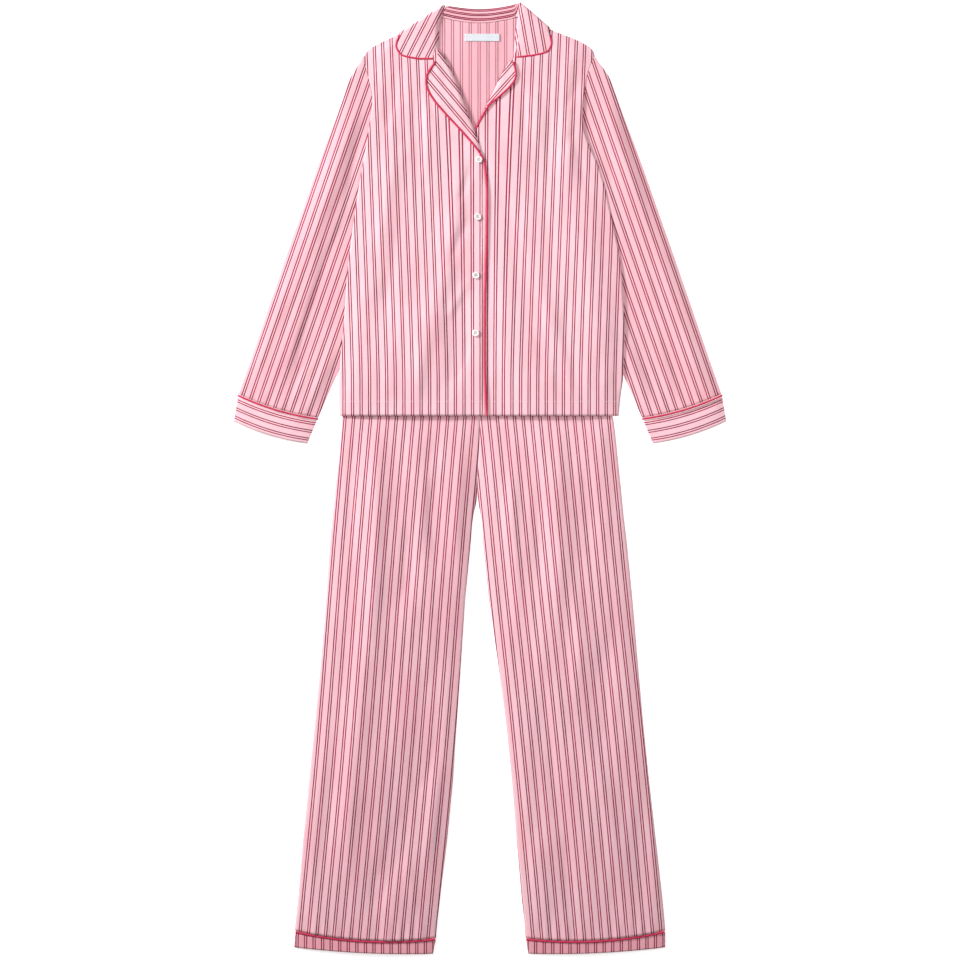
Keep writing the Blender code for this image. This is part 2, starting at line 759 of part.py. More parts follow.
def centre(holder):
    """Moves the whole set so that its outline is centred on the origin."""
    bpy.context.view_layer.update()
    corners = [piece.matrix_world @ Vector(v) for piece in holder.children for v in piece.bound_box]
    low = np.min([c[:2] for c in corners], axis=0)
    high = np.max([c[:2] for c in corners], axis=0)
    holder.location = (*(-(low + high) / 2), 0.0)


def main():
    clear()
    group = bpy.data.collections.new("pyjama_set")
    bpy.context.scene.collection.children.link(group)
    holder = bpy.data.objects.new("pyjama_set_centre", None)
    group.objects.link(holder)
    jacket_back()
    for side in ("right", "left"):
        jacket_front(side)
        lapel(side)
        front_piping(side)
        collar_piping(side)
        sleeve(side)
        cuff(side)
        for layer in ("front", "back"):
            trouser_panel(side, layer)
        hem_band(side)
    collar()
    collar_stand()
    label()
    waistband()
    for number, (x, y) in enumerate(BUTTONS[1:], 1):
        button(number, x, y)
    centre(holder)


main()
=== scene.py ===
"""The looks of a striped cotton pyjama set laid flat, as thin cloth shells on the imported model's solids.

Sizes here are millimetres until a mesh is made. +X is the wearer's left, +Y runs to the collar and +Z up.
"""

import math

import bmesh
import bpy
import numpy as np
from mathutils import Matrix, Vector, noise
from mathutils.bvhtree import BVHTree


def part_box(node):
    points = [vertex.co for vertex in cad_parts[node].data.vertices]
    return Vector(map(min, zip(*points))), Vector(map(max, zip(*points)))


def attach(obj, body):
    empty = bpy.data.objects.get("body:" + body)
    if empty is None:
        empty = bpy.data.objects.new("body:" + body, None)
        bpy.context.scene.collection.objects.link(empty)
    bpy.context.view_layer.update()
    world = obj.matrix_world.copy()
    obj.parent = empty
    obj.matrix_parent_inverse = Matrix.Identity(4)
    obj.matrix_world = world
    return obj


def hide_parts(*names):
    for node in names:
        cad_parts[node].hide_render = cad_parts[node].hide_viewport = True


MM = 0.001

CAD_WALL = 1.2  # the solids' cloth wall
THREAD_WALL = 0.7  # the shells' cloth wall
FOLD_RADIUS = 0.75  # of the cloth's middle where a flattened tube folds
LOWEST = 0.6  # the middle of cloth that lies on the surface
TUBE_TOP = LOWEST + 2 * FOLD_RADIUS  # the least height of a flattened tube's upper layer
PIPING_RADIUS = 1.65
CREASE_DEPTH = 1.7  # times the heights in the crease tables
PIPING_OUT = 1.5  # from a cut edge to the middle of its piping
ROW_STEP = 4.0
COLUMN_STEP = 3.2
HIDDEN_STEP = 7.0

TURN = {"right": -1.0, "left": 1.0}  # the way along X that each side lies

STRIPE_PITCH = 13.7
BACK_PITCH = 14.2
PAIR_HALF = 1.75  # from a pair's middle to each of its lines
LINE_EDGE = (0.6, 1.18)  # from a line's middle: full colour up to the first, none past the second

# Soft ridges (height over 0) and troughs (under 0): a line, how far it bows aside, and its half width
CREASE = ("x0", "y0", "x1", "y1", "bow", "width", "height")
JACKET_CREASES = (
    CREASE,
    (-30, 520, -66, 270, 4, 17, 2.0),
    (-62, 330, -104, 96, -5, 20, 2.8),
    (-22, 330, -52, 110, 4, 15, -1.6),
    (-104, 640, -98, 440, 3, 10, -1.5),
    (-130, 660, -158, 500, -4, 12, -1.7),
    (-84, 610, -88, 470, 2, 11, 1.0),
    (-120, 430, -160, 200, -6, 13, -1.1),
    (-136, 560, -172, 330, 5, 13, 1.3),
    (-142, 240, -150, 96, 2, 12, 1.3),
    (-196, 300, -206, 110, 0, 11, 1.2),
    (-188, 540, -196, 420, 2, 9, 1.0),
    (138, 670, 132, 430, 5, 14, 1.9),
    (92, 640, 96, 520, -3, 11, 0.9),
    (110, 610, 112, 480, 2, 9, -1.0),
    (44, 470, 134, 120, -10, 15, -2.0),
    (66, 420, 80, 250, 5, 10, 1.0),
    (30, 380, 40, 120, 3, 13, 1.1),
    (92, 330, 116, 210, 4, 9, 1.1),
    (160, 420, 186, 150, 6, 15, 1.3),
    (128, 300, 168, 110, -5, 10, -1.1),
    (66, 250, 74, 96, -3, 12, 1.0),
    (150, 560, 176, 440, 0, 9, -1.1),
    (204, 300, 212, 120, 2, 10, 1.0),
    (-12, 512, -40, 430, 3, 6, -0.9),
    (-14, 420, -52, 330, -4, 7, -1.0),
    (-16, 326, -60, 250, 3, 7, 0.9),
    (-20, 234, -48, 150, 4, 8, -1.0),
    (-170, 640, -140, 590, 3, 7, -1.2),
    (-172, 600, -130, 540, -3, 7, 1.0),
    (166, 640, 140, 590, -3, 7, -1.2),
    (164, 590, 128, 520, 4, 8, -1.1),
    (-92, 640, -70, 560, 3, 8, -1.1),
    (58, 640, 74, 540, 4, 8, -1.2),
)
TROUSER_CREASES = (
    CREASE,
    (-168, 120, -178, -330, 6, 17, 3.0),
    (-178, -250, -214, -690, -8, 20, 2.2),
    (-206, 80, -212, -140, 4, 10, -1.8),
    (-70, 110, -62, -150, -9, 13, -2.0),
    (-112, -60, -132, -220, 7, 13, -1.8),
    (-92, 20, -102, -130, 5, 11, 1.4),
    (-36, 60, -40, -130, 3, 10, 1.4),
    (-70, -260, -122, -560, 12, 17, -2.4),
    (-112, -520, -186, -705, 6, 18, -2.0),
    (-64, -440, -96, -640, 5, 10, 1.3),
    (-232, -420, -262, -680, 2, 12, -1.2),
    (-118, -600, -108, -700, 3, 9, 1.2),
    (118, 100, 122, -300, 6, 18, 2.4),
    (54, 60, 66, -230, -6, 11, 1.5),
    (26, 30, 42, -260, -3, 10, -1.2),
    (86, 40, 94, -180, 5, 9, -1.3),
    (150, -140, 148, -380, 8, 12, 1.5),
    (206, -240, 196, -480, -9, 18, -1.8),
    (164, 40, 176, -160, 5, 12, -1.3),
    (98, -300, 120, -560, 6, 14, -1.2),
    (172, -430, 226, -640, 7, 13, 1.4),
    (258, -500, 254, -715, 5, 15, -1.9),
    (88, -560, 104, -715, 3, 13, 1.5),
    (134, -560, 152, -715, -4, 11, -1.2),
)
# Sleeve creases: across is from the outer edge, down is from the shoulder along the arm
SLEEVE_CREASES = {
    "right": (
        CREASE,
        (22, 60, 24, 330, 4, 13, 1.6),
        (64, 230, 74, 560, 8, 13, -1.9),
        (96, 380, 104, 560, -4, 11, 1.5),
        (44, 330, 50, 570, 3, 10, 1.0),
        (38, 90, 58, 250, 6, 9, -1.2),
        (20, 400, 22, 560, 3, 9, -0.9),
        (84, 480, 76, 572, 2, 6, 0.9),
        (60, 20, 34, 130, 5, 8, -1.4),
        (78, 60, 56, 190, 4, 8, 1.2),
    ),
    "left": (
        CREASE,
        (16, 40, 20, 300, 4, 13, 1.5),
        (56, 120, 62, 420, -6, 14, 1.2),
        (88, 330, 82, 560, -5, 12, -1.6),
        (34, 300, 40, 560, 5, 11, -1.0),
        (110, 400, 104, 568, 3, 10, 1.2),
        (60, 440, 66, 566, 3, 9, 0.9),
        (36, 110, 46, 220, 4, 8, -1.0),
        (66, 10, 30, 120, 6, 8, -1.5),
        (80, 60, 54, 200, -5, 9, 1.3),
        (88, 150, 70, 300, 4, 8, -1.3),
    ),
}

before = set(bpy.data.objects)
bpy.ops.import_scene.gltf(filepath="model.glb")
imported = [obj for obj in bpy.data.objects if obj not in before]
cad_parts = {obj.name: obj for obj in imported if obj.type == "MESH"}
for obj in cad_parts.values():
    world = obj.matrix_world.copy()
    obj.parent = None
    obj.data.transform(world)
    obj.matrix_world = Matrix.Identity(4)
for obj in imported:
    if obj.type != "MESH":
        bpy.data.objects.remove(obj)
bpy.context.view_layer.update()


# ---- Reading the frame


class Solid:
    """A CAD node's mesh, in millimetres, that can be cut by upright planes and probed from above."""

    def __init__(self, node):
        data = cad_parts[node].data
        data.calc_loop_triangles()
        self.points = np.array([tuple(v.co) for v in data.vertices]) / MM
        self.faces = np.array([tuple(t.vertices) for t in data.loop_triangles])
        self.tree = BVHTree.FromPolygons(self.points.tolist(), self.faces.tolist())
        self.low, self.high = self.points.min(axis=0), self.points.max(axis=0)

    def crossing(self, at, way):
        """How far along a line through a point, seen from above, the solid starts and ends."""
        flat = self.points[:, :2] - at
        side, run = flat @ (-way[1], way[0]), flat @ way
        ends = np.roll(self.faces, -1, axis=1)
        a, b = side[self.faces], side[ends]
        cut = (a > 0) != (b > 0)
        share = a[cut] / (a[cut] - b[cut])
        places = run[self.faces][cut] * (1 - share) + run[ends][cut] * share
        return float(places.min()), float(places.max())

    def level(self, y):
        """Where the solid starts and ends along X at a height."""
        return self.crossing(np.array((0.0, y)), (1.0, 0.0))

    def height(self, x, y):
        hit = self.tree.ray_cast(Vector((x, y, 50.0)), Vector((0, 0, -1.0)))[0]
        if hit is None:
            hit = self.tree.find_nearest(Vector((x, y, 12.0)))[0]
        return hit.z

    def heights(self, plan):
        """Heights of the surface at a grid of places, each drawn a little towards the middle of its row."""
        middle = plan[:, plan.shape[1] // 2][:, None]
        inward = middle - plan
        length = np.maximum(np.linalg.norm(inward, axis=2, keepdims=True), 1e-6)
        inside = plan + inward / length * np.minimum(0.5, length)
        return np.array([[self.height(x, y) for x, y in row] for row in inside])


def blurred(values, sigma, axis):
    """Values smoothed along one axis, keeping their ends and their slopes there."""
    if sigma <= 0 or values.shape[axis] < 3:
        return values
    values = np.moveaxis(np.array(values, float), axis, 0)
    reach = min(int(3 * sigma) + 1, len(values) - 1)
    kernel = np.exp(-(np.arange(-reach, reach + 1) ** 2) / (2 * sigma**2))
    kernel /= kernel.sum()
    before = 2 * values[:1] - values[reach:0:-1]
    after = 2 * values[-1:] - values[-2 : -reach - 2 : -1]
    padded = np.concatenate([before, values, after])
    smooth = sum(k * padded[i : i + len(values)] for i, k in enumerate(kernel))
    return np.moveaxis(smooth, 0, axis)


def softened(solid, plan, down=1.5, across=1.5):
    """A solid's heights over a grid of places, smoothed down and across it."""
    return blurred(blurred(solid.heights(plan), down, 0), across, 1)


def ramp(value, start, end):
    """0 up to start and 1 from end, with a soft turn at both."""
    t = np.clip((value - start) / (end - start), 0.0, 1.0)
    return t * t * (3 - 2 * t)


def even(start, end, step):
    return np.linspace(start, end, max(2, int(round(abs(end - start) / step)) + 1))


def across_lines(solid, lines, shares, smooth=2.0):
    """Places in plan at shares across the solid, for each line given as a point and a way."""
    spans = [[at + np.array(way) * end for end in solid.crossing(at, way)] for at, way in lines]
    spans = blurred(np.array(spans), smooth, 0)
    shares = np.array(shares)[None, :, None]
    return spans[:, :1] * (1 - shares) + spans[:, 1:] * shares


def level_lines(low, high, step):
    return [(np.array((0.0, y)), (1.0, 0.0)) for y in even(low, high, step)]


# ---- Creases


def creases(table, x, y):
    """The rise of a table's ridges and troughs, each tapering to both ends."""
    total = np.zeros_like(x)
    for x0, y0, x1, y1, bow, width, height in table[1:]:
        length = math.hypot(x1 - x0, y1 - y0)
        way = ((x1 - x0) / length, (y1 - y0) / length)
        t = ((x - x0) * way[0] + (y - y0) * way[1]) / length
        inside = np.clip(t, 0.0, 1.0)
        aside = (x - x0) * -way[1] + (y - y0) * way[0] - bow * 4 * inside * (1 - inside)
        taper = ramp(t, -0.06, 0.34) * (1 - ramp(t, 0.62, 1.06))
        total += CREASE_DEPTH * height * taper * np.exp(-np.abs(aside / width) ** 1.8)
    return total


def rumple(x, y, seed, reach, height):
    """A slight unevenness, longer down the cloth than across it."""
    places = zip(x.ravel() / reach[0], y.ravel() / reach[1])
    values = [noise.noise(Vector((a, b, seed))) for a, b in places]
    return height * np.array(values).reshape(x.shape)


def jacket_relief(x, y, edge):
    """What the jacket's fronts rise above their solids, given the distance in from the side edge."""
    inside = ramp(edge, 0.0, 36.0) * (0.3 + 0.7 * ramp(y, 100.0, 165.0))
    rise = 1.9 + creases(JACKET_CREASES, x, y)
    rise = rise + rumple(x, y, 3.1, (15, 55), 0.8) + rumple(x, y, 8.4, (42, 120), 1.1)
    return inside * np.maximum(rise, 0.0)


# ---- Making objects


def named_uv(mesh, plan):
    layer = mesh.uv_layers.new(name="cloth")
    loops = np.empty(len(mesh.loops), np.int32)
    mesh.loops.foreach_get("vertex_index", loops)
    layer.data.foreach_set("uv", (plan[loops] * MM).astype(np.float32).ravel())


def grid_faces(rows, columns, ring=False, first=0):
    faces = []
    for i in range(rows - 1):
        for j in range(columns if ring else columns - 1):
            k = (j + 1) % columns
            a, b = first + i * columns, first + (i + 1) * columns
            faces.append((a + j, a + k, b + k, b + j))
    return faces


def cloth(name, grids, finish, slot="striped_cotton", wall=THREAD_WALL, ring=False):
    """A thin shell over one or more grids, each given as its points and its cloth coordinates."""
    points, plan, faces = [], [], []
    for grid, coordinates in grids:
        faces += grid_faces(*grid.shape[:2], ring, sum(map(len, points)))
        points.append(grid.reshape(-1, 3))
        plan.append(coordinates.reshape(-1, 2))
    mesh = bpy.data.meshes.new(name)
    mesh.from_pydata((np.concatenate(points) * MM).tolist(), [], faces)
    named_uv(mesh, np.concatenate(plan))
    mesh.update()
    piece = place(name, mesh, finish, slot)
    if mean_normal(mesh) < 0:
        mesh.flip_normals()
    shell = piece.modifiers.new("wall", "SOLIDIFY")
    shell.thickness = wall * MM
    shell.offset = 0.0
    shell.use_even_offset = not ring
    return piece


def mean_normal(mesh):
    return sum(p.normal.z * p.area for p in mesh.polygons)


def linked(name, data):
    """A new object in the scene."""
    piece = bpy.data.objects.new(name, data)
    bpy.context.scene.collection.objects.link(piece)
    return piece


def place(name, data, finish, slot):
    piece = linked(name, data)
    data.materials.append(finish)
    data.shade_smooth()
    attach(piece, "root")
    return piece


def run_along(path):
    """How far along a path each of its points is."""
    return np.concatenate([[0], np.cumsum(np.linalg.norm(np.diff(path, axis=0), axis=1))])


def at_steps(path, steps):
    """Places at distances along a path."""
    run = run_along(path)
    return np.stack([np.interp(steps, run, path[:, k]) for k in range(3)], axis=1)


def cord_mesh(name, paths, radius, finish, slot, sides=10, closed=False):
    """Round tubes along paths, as one mesh whose UV runs round and along each."""
    points, faces, plan = [], [], []
    for path in paths:
        path = np.array(path, float)
        count = len(path)
        if closed:
            way = np.roll(path, -1, axis=0) - np.roll(path, 1, axis=0)
        else:
            way = np.gradient(path, axis=0)
        way /= np.linalg.norm(way, axis=1)[:, None]
        aside = np.cross(way, (0.0, 0.0, 1.0))
        length = np.linalg.norm(aside, axis=1)[:, None]
        aside = np.where(length > 0.2, aside / np.maximum(length, 1e-9), np.array([[1.0, 0.0, 0.0]]))
        over = np.cross(aside, way)
        run = run_along(path)
        first = len(points)
        for i in range(count):
            for k in range(sides):
                angle = math.tau * k / sides
                points.append(path[i] + radius * (aside[i] * math.cos(angle) + over[i] * math.sin(angle)))
                plan.append((radius * angle, run[i]))
        for i in range(count if closed else count - 1):
            for k in range(sides):
                a, b = first + i * sides, first + (i + 1) % count * sides
                n = (k + 1) % sides
                faces.append((a + k, a + n, b + n, b + k))
        if not closed:
            faces.append(tuple(first + k for k in range(sides)))
            faces.append(tuple(first + (count - 1) * sides + k for k in range(sides))[::-1])
    mesh = bpy.data.meshes.new(name)
    mesh.from_pydata([tuple(p * MM) for p in points], [], faces)
    named_uv(mesh, np.array(plan))
    bm = bmesh.new()
    bm.from_mesh(mesh)
    bmesh.ops.recalc_face_normals(bm, faces=bm.faces)
    bm.to_mesh(mesh)
    bm.free()
    mesh.set_sharp_from_angle(angle=math.radians(50))
    return place(name, mesh, finish, slot)


# ---- Materials


class Graph:
    """A material's nodes, with short ways to add them."""

    def __init__(self, name):
        self.material = bpy.data.materials.new(name)
        self.material.use_nodes = True
        self.nodes = self.material.node_tree.nodes
        self.links = self.material.node_tree.links
        self.shader = self.nodes["Principled BSDF"]

    def feed(self, socket, value):
        if hasattr(value, "is_output"):
            self.links.new(value, socket)
        else:
            socket.default_value = value

    def math(self, operation, *values):
        node = self.nodes.new("ShaderNodeMath")
        node.operation = operation
        for socket, value in zip(node.inputs, values):
            self.feed(socket, value)
        return node.outputs[0]

    def between(self, value, start, end, low=0.0, high=1.0):
        node = self.nodes.new("ShaderNodeMapRange")
        node.interpolation_type = "SMOOTHSTEP"
        inputs = ("Value", "From Min", "From Max", "To Min", "To Max")
        for name, given in zip(inputs, (value, start, end, low, high)):
            self.feed(node.inputs[name], given)
        return node.outputs[0]

    def mix(self, share, a, b):
        node = self.nodes.new("ShaderNodeMix")
        node.data_type = "RGBA"
        self.feed(node.inputs["Factor"], share)
        for socket, value in ((node.inputs[6], a), (node.inputs[7], b)):
            self.feed(socket, (*value, 1.0) if isinstance(value, tuple) else value)
        return node.outputs[2]

    def cloth_place(self):
        node = self.nodes.new("ShaderNodeUVMap")
        node.uv_map = "cloth"
        split = self.nodes.new("ShaderNodeSeparateXYZ")
        self.links.new(node.outputs[0], split.inputs[0])
        return split.outputs[0], split.outputs[1]

    def noise(self, scale, detail=2.0, distortion=0.0, place=None):
        node = self.nodes.new("ShaderNodeTexNoise")
        for name, value in (("Scale", scale), ("Detail", detail), ("Distortion", distortion)):
            node.inputs[name].default_value = value
        if place is not None:
            self.links.new(place, node.inputs["Vector"])
        return node.outputs["Fac"]

    def grain(self, u, v, across, along, detail=2.0):
        """Noise with features of a size across the cloth and along it, in millimetres."""
        place = self.nodes.new("ShaderNodeCombineXYZ")
        self.feed(place.inputs[0], self.math("MULTIPLY", u, 1 / (across * MM)))
        self.feed(place.inputs[1], self.math("MULTIPLY", v, 1 / (along * MM)))
        return self.noise(1.0, detail, place=place.outputs[0])

    def wave(self, value, length):
        """A sine with a wavelength in millimetres."""
        return self.math("SINE", self.math("MULTIPLY", value, math.tau / (length * MM)))

    def bump(self, height, distance, strength):
        node = self.nodes.new("ShaderNodeBump")
        node.inputs["Distance"].default_value = distance * MM
        node.inputs["Strength"].default_value = strength
        self.feed(node.inputs["Height"], height)
        self.links.new(node.outputs[0], self.shader.inputs["Normal"])

    def finish(self, colour, roughness, **constants):
        self.feed(self.shader.inputs["Base Color"], colour)
        self.feed(self.shader.inputs["Roughness"], roughness)
        for name, value in constants.items():
            self.shader.inputs[name.replace("_", " ")].default_value = value
        return self.material


GROUND = (0.98, 0.61, 0.675)
GROUND_DEEP = (0.97, 0.545, 0.615)
PAINTED_SHADE_PINK = (0.80, 0.30, 0.36)  # painted shade: a deeper pink mixed into the ground of pieces that lie in shade
BETWEEN_PAIR = (0.98, 0.68, 0.72)
LINE = (0.37, 0.006, 0.06)
LINE_DARK = (0.21, 0.005, 0.04)
PIPING_COLOUR = (0.60, 0.016, 0.075)


def weave(graph, u, v, step=0.55):
    """Over and under threads, as a height from 0 to 1."""
    crossed = graph.math("MULTIPLY", graph.wave(u, step), graph.wave(v, step))
    return graph.math("MULTIPLY_ADD", crossed, 0.5, 0.5)


def striped(name, pitch=STRIPE_PITCH, start=0.0, painted_shade=0.0, strength=0.97, half=PAIR_HALF):
    """Plain-woven cotton with pairs of fine lines, one pair's middle at a start across the cloth, its ground
    darkened by a share of painted shade.
    """
    graph = Graph(name)
    u, v = graph.cloth_place()
    slub = graph.grain(u, v, 3.0, 24.0)
    wander = graph.math("MULTIPLY_ADD", slub, 0.0005, -0.00025 - start * MM)
    turns = graph.math("DIVIDE", graph.math("ADD", u, wander), pitch * MM)
    beside_pair = graph.math("SUBTRACT", graph.math("FRACT", graph.math("ADD", turns, 0.5)), 0.5)
    from_pair = graph.math("MULTIPLY", graph.math("ABSOLUTE", beside_pair), pitch)
    from_line = graph.math("ABSOLUTE", graph.math("SUBTRACT", from_pair, half))
    line = graph.between(from_line, *LINE_EDGE, 1.0, 0.0)
    pair = graph.between(from_pair, half - 0.75, half, 1.0, 0.0)
    blotch = graph.grain(u, v, 60.0, 90.0)
    threads = graph.grain(u, v, 0.7, 14.0, 1.0)
    ground = graph.mix(graph.between(blotch, 0.35, 0.7), GROUND, GROUND_DEEP)
    ground = graph.mix(graph.math("MULTIPLY", threads, 0.12), ground, (0.97, 0.78, 0.81))
    ground = graph.mix(graph.math("MULTIPLY", pair, 0.6), ground, BETWEEN_PAIR)
    ink = graph.mix(graph.between(graph.grain(u, v, 5.0, 150.0, 0.0), 0.35, 0.65), LINE, LINE_DARK)
    # painted shade: the ground is mixed towards a deeper pink by the share given for each piece
    ground = graph.mix(painted_shade, ground, PAINTED_SHADE_PINK)
    colour = graph.mix(graph.math("MULTIPLY", line, strength), ground, ink)
    height = graph.math("MULTIPLY_ADD", weave(graph, u, v), 0.6, graph.math("MULTIPLY", threads, 0.4))
    graph.bump(height, 0.10, 0.55)
    roughness = graph.between(threads, 0.2, 0.8, 0.8, 0.91)
    return graph.finish(
        colour,
        roughness,
        Sheen_Weight=0.06,
        Sheen_Roughness=0.5,
        Sheen_Tint=(1.0, 0.86, 0.88, 1.0),
        Specular_IOR_Level=0.14,
    )


def bias_piping():
    """Crimson bias strip pulled round a cord: threads cross it at a slant."""
    graph = Graph("piping_cotton")
    u, v = graph.cloth_place()
    slant = graph.math("ADD", u, v)
    other = graph.math("SUBTRACT", u, v)
    threads = graph.grain(slant, other, 0.8, 6.0)
    colour = graph.mix(graph.between(threads, 0.3, 0.7), PIPING_COLOUR, (0.70, 0.04, 0.12))
    graph.bump(weave(graph, slant, other, 0.7), 0.12, 0.6)
    roughness = graph.between(threads, 0.2, 0.8, 0.62, 0.8)
    return graph.finish(colour, roughness, Sheen_Weight=0.3, Sheen_Roughness=0.45, Specular_IOR_Level=0.35)


def sewing_thread():
    graph = Graph("sewing_thread")
    u, v = graph.cloth_place()
    ply = graph.wave(graph.math("ADD", u, v), 0.5)
    # painted shade: the thread is darker pink in the grooves between its plies, where the bump is low
    colour = graph.mix(graph.math("MULTIPLY_ADD", ply, 0.5, 0.5), (0.86, 0.60, 0.65), (0.95, 0.76, 0.79))
    graph.bump(ply, 0.08, 0.5)
    return graph.finish(colour, 0.55, Sheen_Weight=0.2, Specular_IOR_Level=0.4)


def button_plastic():
    """Polished off-white plastic with faint pearly clouds."""
    graph = Graph("button_plastic")
    place = graph.nodes.new("ShaderNodeTexCoord").outputs["Object"]
    cloud = graph.noise(420.0, 3.0, 1.2, place)
    colour = graph.mix(graph.between(cloud, 0.35, 0.65), (0.88, 0.83, 0.82), (0.96, 0.93, 0.92))
    roughness = graph.between(cloud, 0.3, 0.7, 0.18, 0.28)
    return graph.finish(colour, roughness, Coat_Weight=0.4, Coat_Roughness=0.1, IOR=1.5)


def label_satin():
    graph = Graph("label_satin")
    u, v = graph.cloth_place()
    rib = graph.wave(u, 0.45)
    threads = graph.grain(u, v, 0.4, 8.0)
    colour = graph.mix(threads, (0.68, 0.72, 0.78), (0.80, 0.83, 0.88))
    graph.bump(graph.math("MULTIPLY_ADD", rib, 0.3, threads), 0.06, 0.4)
    roughness = graph.between(threads, 0.2, 0.8, 0.38, 0.5)
    return graph.finish(colour, roughness, Sheen_Weight=0.15, Specular_IOR_Level=0.5)


COTTON = striped("striped_cotton")
FRONT_COTTON = {"right": striped("striped_cotton_front_right", start=-25.6)}
FRONT_COTTON["left"] = striped("striped_cotton_front_left", start=23.7)
# painted shade: the back, the stand and the hem bands lie in shade, so their ground is darkened by the share
# given
BACK_COTTON = striped("striped_cotton_back", pitch=BACK_PITCH, start=-1.4, painted_shade=0.38, strength=0.62)
STAND_COTTON = striped("striped_cotton_stand", pitch=7.2, start=1.5, painted_shade=0.3, half=1.15)
HEM_COTTON = {"right": striped("striped_cotton_hem_right", start=4.0, painted_shade=0.62)}
HEM_COTTON["left"] = striped("striped_cotton_hem_left", start=-4.0, painted_shade=0.62)
CUFF_COTTON = striped("striped_cotton_cuff", start=6.0)
PIPING = bias_piping()
THREAD = sewing_thread()
PLASTIC = button_plastic()
SATIN = label_satin()


# ---- The jacket's panels


FRONT_WIDTH = 225.0
NECK_EDGE_BACK = 4.5  # how far a front's neck edge is drawn back under the collar's leaf
NECK_EDGE_HEIGHTS = {"right": (664.0, 684.0), "left": (592.0, 612.0)}


def side_edges(y):
    """The jacket's two silhouette edges at a height, from its fronts."""
    return right_front.level(y)[0], left_front.level(y)[1]


def front_height(plan, solid):
    """The middle of a front's cloth over a grid of places."""
    base = softened(solid, plan, 2.2, 2.0) - CAD_WALL / 2
    heights = np.unique(plan[:, 0, 1].round(3))
    edges = np.array([side_edges(min(max(y, front_low + 0.2), front_high - 0.2)) for y in heights])
    right = np.interp(plan[..., 1], heights, edges[:, 0])
    left = np.interp(plan[..., 1], heights, edges[:, 1])
    edge = np.minimum(plan[..., 0] - right, left - plan[..., 0])
    return base + jacket_relief(plan[..., 0], plan[..., 1], edge)


def front_cloth_place(plan):
    """Stripes run up the fronts and lean a little outwards, less near the middle and the hem."""
    x, y = plan[..., 0], plan[..., 1]
    risen = np.maximum(y - 150.0, 0.0)
    lean = 0.042 * risen * risen / (risen + 60.0) * ramp(np.abs(x), 4.0, 70.0)
    return np.stack([x - np.sign(x) * lean, y], axis=-1)


def with_height(plan, z):
    return np.concatenate([plan, z[..., None]], axis=-1)


def jacket_front(side):
    solid = right_front if side == "right" else left_front
    lines = level_lines(solid.low[1] + 0.05, solid.high[1] - 0.05, ROW_STEP)
    columns = int(FRONT_WIDTH / COLUMN_STEP)
    shares = np.linspace(0, 1, columns)
    plan = across_lines(solid, lines, shares, 1.5)
    from_side = shares if side == "right" else 1 - shares
    plan[..., 0] += TURN[side] * NECK_EDGE_BACK * from_side * ramp(plan[..., 1], *NECK_EDGE_HEIGHTS[side])
    grid = with_height(plan, front_height(plan, solid))
    piece = cloth(f"front_{side}", [(grid, front_cloth_place(plan))], FRONT_COTTON[side])
    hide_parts(f"jacket_front_{side}")
    return grid


def jacket_back():
    solid = Solid("jacket_back")
    straight = 720.0
    lines = level_lines(solid.low[1] + 0.05, straight, HIDDEN_STEP)
    columns = np.linspace(0, 1, 90)
    plan = across_lines(solid, lines, columns)
    top_lines = level_lines(solid.high[1] - 0.6, solid.high[1] - 0.5, 0.1)
    end_line = across_lines(solid, top_lines, columns, 0)[-1]
    end_line[:, 1] = [neck_seam(x) - 0.3 for x in end_line[:, 0]]
    shares = np.linspace(0, 1, 8)[1:, None, None]
    plan = np.concatenate([plan, plan[-1:] * (1 - shares) + end_line[None] * shares])
    z = softened(solid, plan) - CAD_WALL / 2
    inside = np.exp(-((plan[..., 0] / 55) ** 2)) * ramp(plan[..., 1], 520, 600)
    z = np.maximum(z, LOWEST) + inside * (rumple(plan[..., 0], plan[..., 1], 5.7, (16, 60), 0.7) + 0.35)
    piece = cloth("back", [(with_height(plan, z), plan)], BACK_COTTON)
    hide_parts("jacket_back")


def neck_seam(x):
    """The height of the seam between the back and the collar's stand."""
    inside = min(max(x, stand.low[0] + 0.4), stand.high[0] - 4.0)
    return stand.crossing(np.array((inside, 0.0)), (0.0, 1.0))[0]


LAPELS = {
    "right": {"angle": -40.0, "start": 3.0, "dome": 1.5, "dip": 1.6, "flat": (0.075, 0.165), "area": 0.0049},
    "left": {"angle": 42.0, "start": 5.0, "dome": 0.5, "dip": 0.7, "flat": (0.05, 0.07), "area": 0.0013},
}


def lapel(side):
    own = LAPELS[side]
    solid = Solid(f"lapel_{side}")
    front = right_front if side == "right" else left_front
    lines = level_lines(solid.low[1] + 0.1, solid.high[1] - 0.1, 1.6)
    plan = across_lines(solid, lines, np.linspace(0, 1, 26), 1.2)
    lift = front_height(plan, front) - softened(front, plan, 2.2, 2.0)
    z = softened(solid, plan, 2.0, 2.0) + lift + 0.25
    across = np.linspace(0, 1, 26)[None, :]
    roll = across if side == "right" else 1 - across
    width = np.linalg.norm(plan[:, -1] - plan[:, 0], axis=1)[:, None]
    z = z + own["dome"] * np.sin(math.pi * roll) * ramp(width, 8, 50)
    from_roll = (1 - roll) * width
    z = z - own["dip"] * np.exp(-((from_roll / 2.2) ** 2))
    grid = with_height(plan, z)
    finish = striped(f"striped_cotton_lapel_{side}", start=own["start"])
    piece = cloth(f"lapel_{side}_cloth", [(grid, turned(plan, own["angle"]))], finish)
    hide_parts(f"lapel_{side}")
    return grid


